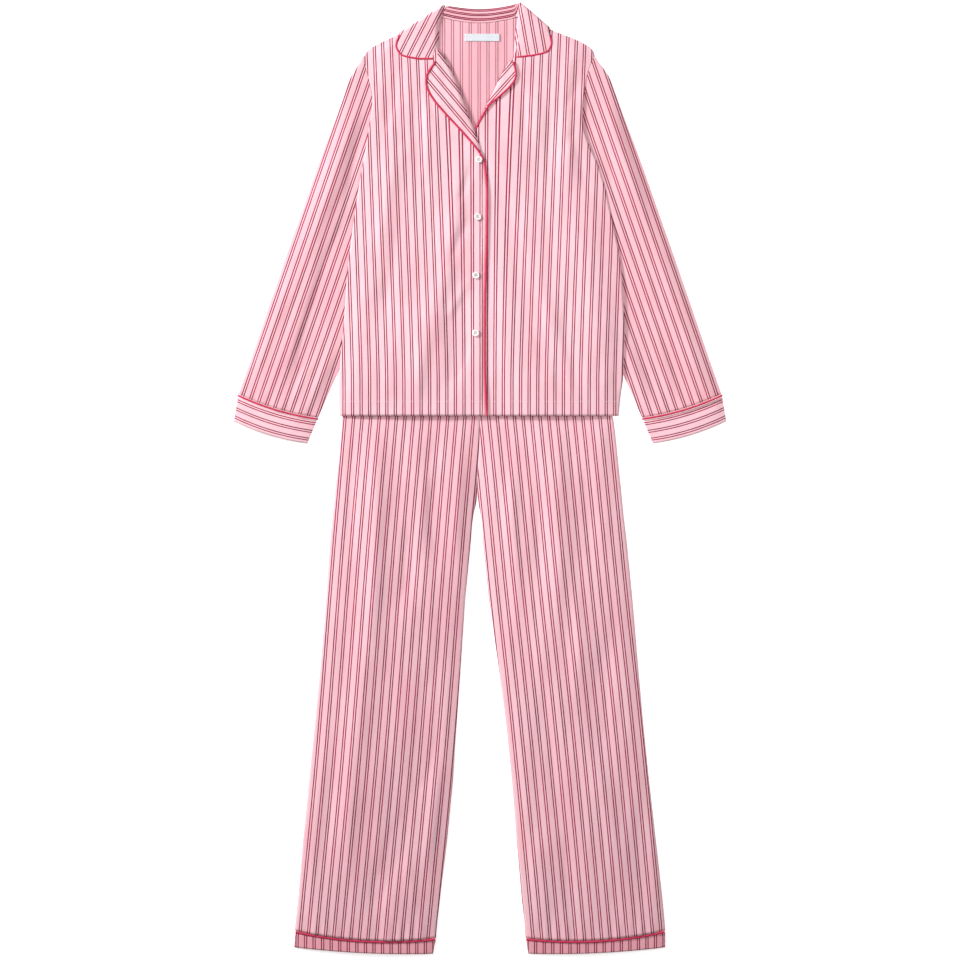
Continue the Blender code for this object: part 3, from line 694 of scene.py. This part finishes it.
def turned(plan, angle):
    """Cloth coordinates whose stripes stand at an angle from upright, in degrees towards +X at the top."""
    c, s = math.cos(math.radians(angle)), math.sin(math.radians(angle))
    return np.stack([plan[..., 0] * c - plan[..., 1] * s, plan[..., 0] * s + plan[..., 1] * c], axis=-1)


def beside(path, distance):
    """A path moved to its left by a distance, in plan."""
    path = np.array(path, float)
    way = np.gradient(path[:, :2], axis=0)
    way /= np.linalg.norm(way, axis=1)[:, None]
    moved = path.copy()
    moved[:, :2] += distance * np.stack([-way[:, 1], way[:, 0]], axis=1)
    return moved


# ---- The collar


LEAF_TOP = 6.1  # middle of the leaf's cloth


def leaf(side):
    """One leaf's rows from its outer edge to its roll line, turned down there and at the shoulder."""
    x_sign = TURN[side]
    low = collar_solid.points[collar_solid.points[:, 0] * x_sign > 0]
    rows = even(low[:, 1].min() + 0.4, low[:, 1].max() - 0.7, 1.5)
    spans = blurred(np.array([leaf_span(y, x_sign) for y in rows]), 1.2, 0)
    across = np.linspace(0, 1, 28)
    x = spans[:, :1] * (1 - across) + spans[:, 1:] * across
    y = np.repeat(rows[:, None], len(across), axis=1)
    width = np.abs(spans[:, 1] - spans[:, 0])[:, None]
    dome = 1.5 * np.sin(math.pi * across)[None] ** 0.8 * ramp(width, 10, 50) * ramp(y, rows[0], rows[0] + 26)
    from_roll = (1 - across)[None] * width
    depth, reach = (3.4, 3.0) if side == "right" else (1.9, 4.5)
    roll = depth * np.exp(-((from_roll / reach) ** 2))
    from_edge = across[None] * width
    from_round = 1 - np.clip(from_edge / 6.0, 0, 1)
    turn = ramp(y, 700, 724) * 4.6 * (1 - np.sqrt(np.clip(1 - from_round**2, 0, 1)))
    z = LEAF_TOP + 0.2 + dome - roll - turn + rumple(x, y, 2.2, (22, 30), 0.5) * ramp(from_edge, 2, 12)
    plan = np.stack([x, y], axis=-1)
    return with_height(plan, np.maximum(z, 1.4))


def leaf_span(y, x_sign):
    """The outer and inner ends of a leaf at a height."""
    start, end = leaf_solids[x_sign].level(y)
    return (start, end) if x_sign < 0 else (end, start)


class Half(Solid):
    """The upper leaf on one side of the collar's solid."""

    def __init__(self, whole, x_sign):
        middle = whole.points[whole.faces].mean(axis=1)
        keep = (middle[:, 0] * x_sign > 50.0) & (middle[:, 2] > 3.6)
        self.points, self.faces = whole.points, whole.faces[keep]


def collar():
    grids = []
    for side, angle in (("right", -27.0), ("left", 10.0)):
        grid = leaf(side)
        grids.append((grid, turned(grid[..., :2], -angle)))
        leaves[side] = grid
    fall = level_lines(collar_solid.low[1] + 14.0, 740.0, HIDDEN_STEP)
    plan = across_lines(collar_solid, fall, np.linspace(0.04, 0.96, 48))
    z = np.full(plan.shape[:2], LOWEST)
    grids.append((with_height(plan, z), turned(plan, 90.0)))
    piece = cloth("collar_cloth", grids, striped("striped_cotton_collar", start=2.0))
    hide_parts("collar")


def collar_stand():
    lines = [(np.array((x, 0.0)), (0.0, 1.0)) for x in even(stand.low[0] + 0.3, stand.high[0] - 0.3, 2.2)]
    shares = np.linspace(0, 1, 16)
    plan = across_lines(stand, lines, shares, 1.5)
    z = blurred(stand.heights(plan), 1.5, 0) - CAD_WALL / 2
    rise = shares[None, :]
    z = z + 1.4 * np.sin(math.pi * np.clip(rise, 0, 1)) ** 2 - 1.5 * ramp(rise, 0.86, 1.0)
    z = z + rumple(plan[..., 0], plan[..., 1], 6.6, (26, 9), 0.35)
    base = plan[:, :1, 1]
    from_seam = plan[..., 1] - base
    coordinates = np.stack([from_seam - 4.0, plan[..., 0]], axis=-1)
    piece = cloth("collar_stand_cloth", [(with_height(plan, z), coordinates)], STAND_COTTON)
    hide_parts("collar_stand")


# ---- Flattened tubes


def flattened(upper, lower):
    """A closed ring for each row: along the lower grid, round one fold, back over the upper and round."""
    rings = []
    for up, down in zip(upper, lower):
        ring = list(down)
        folds = ((down[-1], up[-1], down[-1] - down[-2]), (up[0], down[0], up[0] - up[1]))
        for low, high, out in folds:
            out = np.array((out[0], out[1], 0.0))
            out /= np.linalg.norm(out)
            middle, reach = (low + high) / 2, abs(high[2] - low[2]) / 2
            steps = np.radians((-60, -30, 0, 30, 60)) * (1 if high[2] > low[2] else -1)
            for a in steps:
                ring.append(middle + out * reach * math.cos(a) + np.array((0, 0, reach * math.sin(a))))
            if len(ring) < 2 * len(down):
                ring += list(up[::-1])
        rings.append(ring)
    return np.array(rings)


def tube(solid, ends, columns, bows, relief, bulge=0.0):
    """The ring grid of a flattened tube, between the ends of its rows and bowed towards its end."""
    chord = ends[:, 1] - ends[:, 0]
    length = np.linalg.norm(chord, axis=1)[:, None]
    chord = chord / length
    inset = (FOLD_RADIUS + THREAD_WALL / 2) / length
    shares = inset + (1 - 2 * inset) * np.linspace(0, 1, columns)[None]
    plan = ends[:, :1] * (1 - shares[..., None]) + ends[:, 1:] * shares[..., None]
    plan = plan + bulge
    down = np.stack([chord[:, 1], -chord[:, 0]], axis=1)
    down *= np.where(down[:, 1:] < 0, 1.0, -1.0)
    bend = (np.array(bows)[:, None] * 4 * shares * (1 - shares))[..., None]
    plan = plan + down[:, None] * bend
    top = softened(solid, plan) - CAD_WALL / 2
    from_fold = np.minimum(shares, 1 - shares) * length
    top = np.clip(top + relief(plan, shares, from_fold), TUBE_TOP, TUBE_TOP + 0.5 * from_fold)
    upper = with_height(plan, top)
    lower = with_height(plan, np.full(top.shape, LOWEST))
    return flattened(upper, lower)


# Lines across the left sleeve: a point on each and its angle
SLEEVE_LINES = (
    ("x", "y", "angle"),
    (207.4, 431.0, 54.3),
    (227.8, 367.8, 45.1),
    (250.4, 304.6, 35.8),
    (276.7, 236.6, 28.8),
    (299.7, 178.6, 18.0),
    (323.3, 116.8, 16.55),
)
WRIST_ANGLE = 16.55  # of the cuff's seam from level, in degrees
SHOULDER, UNDERARM = 685.0, 462.0  # heights of the armhole's two ends
ARMHOLE_ROWS = 40  # that fan down from the armhole
SEAM_TUCK = 1.7  # of the sleeve under the front's edge
ARM_LEAN = 19.0  # of the arm from upright, in degrees


def slant(angle, turn):
    """A way across at an angle from level, in degrees, mirrored on the right side."""
    return np.array((math.cos(math.radians(angle)), turn * math.sin(math.radians(angle))))


def sleeve_lines(side, step=4.0):
    turn = TURN[side]
    lines = []
    for (x0, y0, a0), (x1, y1, a1) in zip(SLEEVE_LINES[1:], SLEEVE_LINES[2:]):
        count = max(2, int(math.hypot(x1 - x0, y1 - y0) / step))
        for t in np.arange(count) / count:
            lines.append((x0 + (x1 - x0) * t, y0 + (y1 - y0) * t, a0 + (a1 - a0) * t))
    lines.append(SLEEVE_LINES[-1])
    table = blurred(np.array(lines), 6.0, 0)
    return [(np.array((turn * x, y)), slant(angle, turn)) for x, y, angle in table]


def arm_place(plan, side):
    """Cloth coordinates of a sleeve: across from its outer edge, and down from the shoulder."""
    turn = TURN[side]
    out = math.radians(ARM_LEAN)
    across = np.array((-math.cos(out) * turn, -math.sin(out)))
    down = np.array((math.sin(out) * turn, -math.cos(out)))
    shoulder = np.array((turn * 187.0, 678.0))
    return np.stack([(plan - shoulder) @ across, (plan - shoulder) @ down], axis=-1)


def side_place(solid, y, which):
    """A place on a sleeve's edge at a height, or on the front's edge above the sleeve."""
    if y > solid.high[1] - 0.5:
        outward = math.copysign(0.6, solid.low[0] + solid.high[0])
        return np.array((side_edges(y)[0 if outward < 0 else 1] + outward, y))
    return np.array((solid.level(y)[which], y))


def sleeve_ends(solid, side):
    """The ends of a sleeve's rows: they fan down from the armhole, then follow the lines across the arm."""
    lower = across_lines(solid, sleeve_lines(side), (0.0, 1.0), 1.5)
    outer, inner = (0, 1) if side == "right" else (1, 0)
    upper = []
    for share in np.arange(ARMHOLE_ROWS) / ARMHOLE_ROWS:
        outside = side_place(solid, SHOULDER + (lower[0, outer, 1] - SHOULDER) * share, outer)
        inside = side_place(solid, UNDERARM + (lower[0, inner, 1] - UNDERARM) * share, inner)
        upper.append((outside, inside) if side == "right" else (inside, outside))
    return blurred(np.concatenate([upper, lower]), 1.5, 0)


def armhole_bulge(solid, side, columns, count):
    """What the armhole's edge stands aside from a straight row, fading out down the sleeve."""
    inner = 1 if side == "right" else 0
    heights = np.linspace(SHOULDER, UNDERARM, columns)[:: 1 if side == "right" else -1]
    edge = np.array([side_place(solid, y, inner) for y in heights])
    shares = np.linspace(0, 1, columns)[:, None]
    aside = edge - edge[:1] * (1 - shares) - edge[-1:] * shares
    aside[:, 0] += (SEAM_TUCK if side == "right" else -SEAM_TUCK) * ramp(heights, 500.0, 560.0)
    fade = 1 - ramp(np.arange(count), 0.0, ARMHOLE_ROWS)
    return aside[None] * fade[:, None, None]


def sleeve(side):
    solid = Solid(f"sleeve_{side}")
    ends = sleeve_ends(solid, side)
    count = len(ends)
    bows = 5.0 * ramp(np.arange(count) / (count - 1), 0.72, 1.0)
    outer_first = side == "right"

    def relief(plan, shares, from_fold):
        from_outer = shares if outer_first else 1 - shares
        place_on_arm = arm_place(plan, side)
        across, down = place_on_arm[..., 0], place_on_arm[..., 1]
        down_share = np.linspace(0, 1, count)[:, None]
        covered = ramp(from_outer, 0.42, 0.62) * (1 - ramp(down_share, 0.62, 0.9))
        rise = 1.5 + creases(SLEEVE_CREASES[side], across, down)
        rise = rise + rumple(across, down, 1.3 if outer_first else 4.9, (15, 60), 0.6)
        soft = ramp(from_fold, 0.0, 22.0) * ramp(down_share, 0.0, 0.2)
        puckers = 0.5 * np.sin(across / 4.2 + 2.0 * np.sin(across / 23.0)) * ramp(down_share, 0.95, 1.0)
        return (1 - covered) * soft * np.maximum(rise + puckers, -0.4)

    ring = tube(solid, ends, 62, bows, relief, armhole_bulge(solid, side, 62, count))
    place_on_arm = arm_place(ring[..., :2], side)
    # painted shade: the sleeves' ground is darkened a little
    finish = striped(f"striped_cotton_sleeve_{side}", start=9.0, painted_shade=0.27)
    piece = cloth(f"sleeve_{side}_cloth", [(ring, place_on_arm)], finish, ring=True)
    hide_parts(f"sleeve_{side}")
    return ring


def cuff(side):
    solid = Solid(f"cuff_{side}")
    turn = TURN[side]
    count = 14
    lines = []
    for t in np.linspace(0.02, 0.98, count):
        x, y = 324.3 + 11.4 * t, 115.4 - 39.5 * t
        rise = turn * math.sin(math.radians(WRIST_ANGLE + 0.3 * t))
        way = np.array((math.cos(math.radians(WRIST_ANGLE)), rise))
        lines.append((np.array((turn * x, y - 2.5)), way / np.linalg.norm(way)))

    def relief(plan, shares, from_fold):
        along = np.linspace(0, 1, count)[:, None]
        rise = 0.8 + rumple(plan[..., 0], plan[..., 1], 7.7, (20, 20), 0.5)
        return ramp(from_fold, 0, 16) * rise * (0.8 + 0.3 * np.sin(math.pi * along))

    ends = across_lines(solid, lines, (0.0, 1.0), 1.5)
    ring = tube(solid, ends, 50, [5.0] * count, relief)
    down = np.linspace(0, 1, count)[:, None] * np.ones(ring.shape[1])[None] * 41.0
    around = np.cumsum(np.linalg.norm(np.diff(ring, axis=1, prepend=ring[:, :1]), axis=2), axis=1)
    coordinates = np.stack([down, around], axis=-1)
    piece = cloth(f"cuff_{side}_cloth", [(ring, coordinates)], CUFF_COTTON, ring=True)
    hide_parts(f"cuff_{side}")
    return ring


# ---- Trousers


HEM_ANGLE = 3.04  # of the hem's seam from level, in degrees
HEM_BOW = 9.0  # of its middle towards the foot
HEM_MIDDLE = 183.3  # its distance from the middle of the set
LEG_WIDTH, LEG_END = 228.0, -729.5


def leg_lines(solid, side, step):
    """Level lines down a leg that tilt to the hem's slant over the last stretch, with their bows."""
    turn = TURN[side]
    lines, bows = [], []
    for y in even(solid.high[1] - 0.1, LEG_END, step):
        near = float(ramp(-y, 560.0, -LEG_END))
        lines.append((np.array((turn * HEM_MIDDLE * near, y)), slant(HEM_ANGLE * near, turn)))
        bows.append(HEM_BOW * near)
    return lines, bows


def leg_place(plan, side):
    """Stripes run down a leg along its middle."""
    middle = np.interp(plan[..., 1], leg_middles[side][:, 1], leg_middles[side][:, 0])
    return np.stack([plan[..., 0] - middle, plan[..., 1]], axis=-1)


def leg(side, layer):
    solid = Solid(f"trousers_{layer}_{side}")
    front = layer == "front"
    step, columns = (ROW_STEP + 0.6, int(LEG_WIDTH / COLUMN_STEP)) if front else (12.0, 30)
    lines, bows = leg_lines(solid, side, step)
    shares = np.linspace(0, 1, columns)
    plan = across_lines(solid, lines, shares, 1.0)
    plan[..., 1] -= np.array(bows)[:, None] * 4 * shares * (1 - shares)
    z = softened(solid, plan) - CAD_WALL / 2
    if front:
        middle = plan.mean(axis=1)
        leg_middles[side] = leg_axis(middle)
        x, y = plan[..., 0], plan[..., 1]
        width = np.linalg.norm(plan[:, -1] - plan[:, 0], axis=1)[:, None]
        edge = np.minimum(shares, 1 - shares)[None] * width
        open_part = 1 - ramp(y, 60, 108)
        rise = 2.0 + creases(TROUSER_CREASES, x, y)
        rise = rise + rumple(x, y, 9.2, (17, 75), 0.7) + rumple(x, y, 6.1, (40, 130), 1.2)
        puckers = 0.7 * np.sin(x / 3.7 + 2.4 * np.sin(x / 19.0)) * ramp(-y, 695, 728)
        z = z + ramp(edge, 0, 24) * open_part * np.maximum(rise + puckers, -0.3)
        z = z - 0.5 * (1 - ramp(edge, 0, 3.0)) * open_part
    grid = with_height(plan, z)
    piece = cloth(f"{layer}_{side}_leg", [(grid, leg_place(plan, side))], leg_cotton[side])
    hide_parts(f"trousers_{layer}_{side}")
    return grid


def leg_axis(middle):
    """The line that a leg's stripes follow: its middle below the crotch, carried on straight above it."""
    path = middle[:, :2].copy()
    below = path[path[:, 1] < -60]
    slope = (below[0, 0] - below[-1, 0]) / (below[0, 1] - below[-1, 1])
    above = path[:, 1] >= -60
    path[above, 0] = below[0, 0] + (path[above, 1] - below[0, 1]) * slope
    path[:, 0] = blurred(path[:, 0], 8.0, 0)
    return path[::-1]


def hem_band(side):
    solid = Solid(f"hem_band_{side}")
    turn = TURN[side]
    count = 9
    lines, bows = [], []
    for t in np.linspace(0.02, 0.98, count):
        at = np.array((turn * (183.4 + 3.6 * t), -732.6 - 23.2 * t))
        lines.append((at, slant(HEM_ANGLE - 0.37 * t, turn)))
        bows.append(HEM_BOW - 5.4 * t)

    def relief(plan, shares, from_fold):
        rise = 0.6 + rumple(plan[..., 0], plan[..., 1], 3.9, (18, 30), 0.6)
        return ramp(from_fold, 0, 14) * rise

    ends = across_lines(solid, lines, (0.0, 1.0), 1.5)
    ring = tube(solid, ends, 64, bows, relief)
    coordinates = leg_place(ring[..., :2], side)
    coordinates[..., 0] -= 4.0 * turn
    piece = cloth(f"hem_{side}_cloth", [(ring, coordinates)], HEM_COTTON[side], ring=True)
    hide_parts(f"hem_band_{side}")
    return ring


def waistband():
    solid = Solid("waistband")
    lines = level_lines(solid.low[1] + 0.2, solid.high[1] - 0.2, 3.2)

    def relief(plan, shares, from_fold):
        gathers = 0.22 * np.sin(plan[..., 0] / 2.6 + np.sin(plan[..., 0] / 11.0))
        return gathers * ramp(from_fold, 0, 10)

    ends = across_lines(solid, lines, (0.0, 1.0), 1.5)
    ring = tube(solid, ends, 110, [0.0] * len(lines), relief)
    piece = cloth("waistband_cloth", [(ring, ring[..., :2])], COTTON, ring=True)
    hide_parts("waistband")


# ---- Trim

FRONT_PIPING_TO = 512.0  # up the right front's edge
LAPEL_PIPING = (530.0, 667.0)  # heights that it runs between on the right lapel
LEFT_PIPING_START = (-6.6, 559.5)
LEAF_PIPING_TO = 714.0
JACKET_HEM = 23.0  # deep
EDGE_STITCHES_IN, EDGE_STITCHES_TO = 6.0, 500.0  # from the right front's edge, and up to this height
HOLES = (-1.35, 1.35)  # of a button, from its middle along X and Y
HOLE_RADIUS = 0.78
BUTTON_PROFILE = (
    ("of the radius", "height"),
    (0.44, 1.92),
    (0.54, 2.02),
    (0.62, 2.2),
    (0.74, 2.4),
    (0.86, 2.35),
    (0.95, 2.0),
    (1.0, 1.45),
    (0.97, 0.9),
    (0.84, 0.35),
    (0.62, 0.0),
)
THREAD_BAR = ((-1.35, 0.7), (-1.3, 2.0), (0.0, 2.3), (1.3, 2.0), (1.35, 0.7))  # along Y, and up
SATIN_BAR = ((-1.0, -0.1), (-0.6, 0.18), (0.0, 0.1), (0.6, 0.18), (1.0, -0.1))  # of its half width, and up

def smooth_path(path, sigma=2.0, step=2.0):
    """A path with even steps, smoothed."""
    path = np.array(path, float)
    return blurred(at_steps(path, even(0, run_along(path)[-1], step)), sigma, 0)


def piping_piece(name, node, path, closed=False):
    piece = cord_mesh(name, [path], PIPING_RADIUS, PIPING, "piping", closed=closed)
    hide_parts(node)


def front_pipings():
    edge = fronts["right"][:, -1]
    edge = edge[edge[:, 1] < FRONT_PIPING_TO]
    outer = lapels["right"][:, 0]
    outer = outer[(outer[:, 1] > LAPEL_PIPING[0]) & (outer[:, 1] < LAPEL_PIPING[1])]
    path = [*beside(edge, -PIPING_OUT), *beside(outer, PIPING_OUT)]
    path = smooth_path([(x, y, z + 0.4) for x, y, z in path])
    piping_piece("front_piping_right_cord", "front_piping_right", path)
    outer = lapels["left"][:, -1]
    start = np.array((*LEFT_PIPING_START, outer[0, 2] - 1.6))
    path = [start, start + (outer[0] - start) * 0.5, *beside(outer, -PIPING_OUT)]
    piping_piece("front_piping_left_cord", "front_piping_left", smooth_path(path))


def collar_pipings():
    for side, turn in TURN.items():
        grid = leaves[side]
        bottom = grid[0, ::-1]
        outer = grid[:, 0]
        outer = outer[outer[:, 1] < LEAF_PIPING_TO]
        path = smooth_path([*bottom, *outer[1:]], 1.2, 1.6)
        moved = beside(path, PIPING_OUT * turn)
        piping_piece(f"collar_piping_{side}_cord", f"collar_piping_{side}", moved)


def seam_piping(name, node, ring_a, ring_b, proud=0.7):
    """Piping round a flattened tube's seam, standing a little proud of the cloth over it."""
    path = (ring_a + ring_b) / 2
    middle = path[:, :2].mean(axis=0)
    path = path.copy()
    path[:, 2] += np.where(path[:, 2] > 1.4, proud, 1.1)
    out = path[:, :2] - middle
    path[:, :2] += out / np.linalg.norm(out, axis=1)[:, None] * 0.2
    piping_piece(name, node, path, closed=True)


def pipings():
    front_pipings()
    collar_pipings()
    for side in ("right", "left"):
        sleeve_end = resampled(sleeves[side][-1], 150)
        cuff_start = resampled(cuffs[side][0], 150)
        seam_piping(f"cuff_piping_{side}_cord", f"cuff_piping_{side}", sleeve_end, cuff_start, 1.5)
        band = resampled(hems[side][0], 170)
        band[:, 1] += PIPING_OUT
        seam_piping(f"hem_piping_{side}_cord", f"hem_piping_{side}", band, band)


def resampled(ring, count):
    ring = np.concatenate([ring, ring[:1]])
    return at_steps(ring, np.linspace(0, run_along(ring)[-1], count + 1)[:-1])


def stitch_rows():
    """Rows of stitches, each a short sunk bar of thread, joined as one piece."""
    paths = []
    for side in ("right", "left"):
        hem = row_at(fronts[side], fronts[side][0, 0, 1] + JACKET_HEM)
        paths += stitches(hem, THREAD_WALL / 2)
        if side == "right":
            edge = fronts[side][:, -1]
            edge = edge[edge[:, 1] < EDGE_STITCHES_TO]
            paths += stitches(beside(edge, EDGE_STITCHES_IN), THREAD_WALL / 2)
    cord_mesh("stitches", paths, 0.28, THREAD, "striped_cotton", sides=6)


def row_at(grid, y):
    """The grid's points at a height, between its rows."""
    rows = grid[:, 0, 1]
    at = int(np.clip(np.searchsorted(rows, y), 1, len(rows) - 1))
    share = (y - rows[at - 1]) / (rows[at] - rows[at - 1])
    return grid[at - 1] * (1 - share) + grid[at] * share


def stitches(path, rise, length=2.4, pause=0.8):
    """Short bars along a path, each bowed up out of the cloth in its middle."""
    path = np.array(path, float)
    bars = []
    for start in np.arange(pause, run_along(path)[-1] - length, length + pause):
        bar = at_steps(path, start + length * np.array((0.0, 0.2, 0.5, 0.8, 1.0)))
        bar[:, 2] += rise + np.array((-0.35, 0.0, 0.08, 0.0, -0.35))
        bars.append(bar)
    return bars


def front_surface(x, y):
    """The height of the right front's cloth at a place."""
    row = row_at(fronts["right"], y)
    order = np.argsort(row[:, 0])
    return float(np.interp(x, row[order, 0], row[order, 2]))


def lathe(profile, radius, steps=48):
    """A bmesh of joined rings of points, closed at both ends."""
    bm = bmesh.new()
    angles = [math.tau * k / steps for k in range(steps)]
    rings = []
    for share, height in profile:
        reach = share * radius
        rings.append([bm.verts.new((reach * math.cos(a), reach * math.sin(a), height)) for a in angles])
    for a, b in zip(rings, rings[1:]):
        for k in range(steps):
            n = (k + 1) % steps
            bm.faces.new((a[k], b[k], b[n], a[n]))
    bm.faces.new(rings[0])
    bm.faces.new(rings[-1][::-1])
    bmesh.ops.recalc_face_normals(bm, faces=bm.faces)
    return bm


def mesh_of(bm, name):
    mesh = bpy.data.meshes.new(name)
    bm.to_mesh(mesh)
    bm.free()
    return mesh


def button(number):
    """A turned four-hole button with its thread, on a worked buttonhole."""
    low, high = (np.array(corner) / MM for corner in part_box(f"button_{number}"))
    x, y = (low[:2] + high[:2]) / 2
    z = front_surface(x, y) + THREAD_WALL / 2 + 0.5
    bm = lathe(BUTTON_PROFILE[1:], (high[0] - low[0]) / 2)
    bm.transform(millimetres_at(x, y, z))
    mesh = mesh_of(bm, f"button_{number}_disc")
    disc = place(f"button_{number}_disc", mesh, PLASTIC, "button")
    mesh.set_sharp_from_angle(angle=math.radians(50))
    cut_holes(disc, x, y, z)
    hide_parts(f"button_{number}")
    threads = []
    for side in HOLES:
        for shift in (-0.22, 0.22):
            threads.append([(x + side + shift, y + b, z + c) for b, c in THREAD_BAR])
    cord_mesh(f"button_{number}_thread", threads, 0.24, THREAD, "button", sides=8)
    buttonhole(number, x, y)


def millimetres_at(x, y, z):
    return Matrix.Translation(Vector((x, y, z)) * MM) @ Matrix.Scale(MM, 4)


def cut_holes(disc, x, y, z):
    bm = bmesh.new()
    for a in HOLES:
        for b in HOLES:
            made = bmesh.ops.create_cone(
                bm, cap_ends=True, segments=16, radius1=HOLE_RADIUS, radius2=HOLE_RADIUS, depth=6.0
            )
            bmesh.ops.translate(bm, verts=made["verts"], vec=(a, b, 1.0))
    bm.transform(millimetres_at(x, y, z))
    cutter = linked("holes", mesh_of(bm, "holes"))
    holes = disc.modifiers.new("holes", "BOOLEAN")
    holes.operation = "DIFFERENCE"
    holes.object = cutter
    graph = bpy.context.evaluated_depsgraph_get()
    cut = bpy.data.meshes.new_from_object(disc.evaluated_get(graph))
    disc.modifiers.clear()
    disc.data = cut
    bpy.data.objects.remove(cutter)


def buttonhole(number, x, y):
    """Close satin stitches round a slit, seen at both ends of the button."""
    half, bars = 7.6, []
    for v in even(-half, half, 0.42):
        wide = 1.45 * math.sqrt(max(0.0, 1 - (abs(v) / (half + 0.4)) ** 6))
        z = front_surface(x, y + v) + THREAD_WALL / 2
        bars.append([(x + wide * a, y + v, z + b) for a, b in SATIN_BAR])
    cord_mesh(f"buttonhole_{number}", bars, 0.22, THREAD, "striped_cotton", sides=6)


def label():
    low, high = (np.array(corner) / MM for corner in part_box("label"))
    u = even(low[0], high[0], 1.4)
    v = even(low[1], high[1], 1.2)
    x, y = np.meshgrid(u, v)
    z = low[2] + 0.55 + rumple(x, y, 1.9, (15, 8), 0.35)
    plan = np.stack([x, y], axis=-1)
    piece = cloth("label_tape", [(with_height(plan, z), plan)], SATIN, "label", wall=0.5)
    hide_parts("label")
    paths = []
    for edge in (low[0] + 1.2, high[0] - 1.2):
        ends = [(edge, y_at, low[2] + 0.55) for y_at in even(low[1] + 0.5, high[1] - 0.5, 1.0)]
        paths += stitches(ends, 0.3, 1.6, 0.7)
    cord_mesh("label_stitches", paths, 0.2, THREAD, "label", sides=6)


# ---- The studio


def floor():
    mesh = bpy.data.meshes.new("floor")
    reach = 30.0
    corners = [(-reach, -reach, 0), (reach, -reach, 0), (reach, reach, 0), (-reach, reach, 0)]
    mesh.from_pydata(corners, [], [(0, 1, 2, 3)])
    piece = linked("floor", mesh)
    graph = Graph("pale_floor")
    colour = graph.mix(graph.between(graph.noise(3.0), 0.3, 0.7), (0.93, 0.93, 0.93), (0.95, 0.95, 0.95))
    glow = {"Emission_Color": (1.0, 1.0, 1.0, 1.0), "Emission_Strength": 0.55}
    mesh.materials.append(graph.finish(colour, 0.95, Specular_IOR_Level=0.1, **glow))


def light(name, place_at, size, power):
    data = bpy.data.lights.new(name, "AREA")
    data.shape = "RECTANGLE"
    data.size, data.size_y = size
    data.energy = power
    lamp = linked(name, data)
    lamp.location = place_at
    lamp.rotation_euler = (Vector((0, 0, 0)) - Vector(place_at)).to_track_quat("-Z", "Y").to_euler()


def studio():
    floor()
    light("key", (-3.1, 1.9, 1.6), (0.9, 0.9), 198)
    light("middle", (0.7, 0.3, 1.8), (1.0, 1.0), 17)
    world = bpy.data.worlds.new("studio")
    bpy.context.scene.world = world
    world.use_nodes = True
    background = world.node_tree.nodes["Background"]
    background.inputs["Color"].default_value = (1.0, 1.0, 1.0, 1.0)
    background.inputs["Strength"].default_value = 0.17
    bpy.context.scene.view_settings.view_transform = "Standard"


def camera():
    data = bpy.data.cameras.new("camera")
    data.lens, data.sensor_width = 85.0, 36.0
    data.clip_start, data.clip_end = 0.05, 50.0
    piece = linked("camera", data)
    seen_across = 1.536
    set_above_middle = 0.0021
    piece.location = (0.0, -set_above_middle, seen_across * data.lens / data.sensor_width + 0.005)
    bpy.context.scene.camera = piece


# ---- The whole set

right_front, left_front = Solid("jacket_front_right"), Solid("jacket_front_left")
front_low, front_high = right_front.low[1], right_front.high[1]
stand = Solid("collar_stand")
collar_solid = Solid("collar")
leaf_solids = {sign: Half(collar_solid, sign) for sign in (-1.0, 1.0)}
leaves, leg_middles = {}, {}
# painted shade: the legs' ground is darkened a little
leg_cotton = {
    "right": striped("striped_cotton_leg_right", start=4.0, painted_shade=0.18),
    "left": striped("striped_cotton_leg_left", start=-4.0, painted_shade=0.14),
}

jacket_back()
fronts = {side: jacket_front(side) for side in ("right", "left")}
lapels = {side: lapel(side) for side in ("right", "left")}
collar()
collar_stand()
sleeves = {side: sleeve(side) for side in ("right", "left")}
cuffs = {side: cuff(side) for side in ("right", "left")}
for layer in ("front", "back"):
    for side in ("right", "left"):
        leg(side, layer)
hems = {side: hem_band(side) for side in ("right", "left")}
waistband()
pipings()
stitch_rows()
for number in range(1, 5):
    button(number)
label()
studio()
camera()
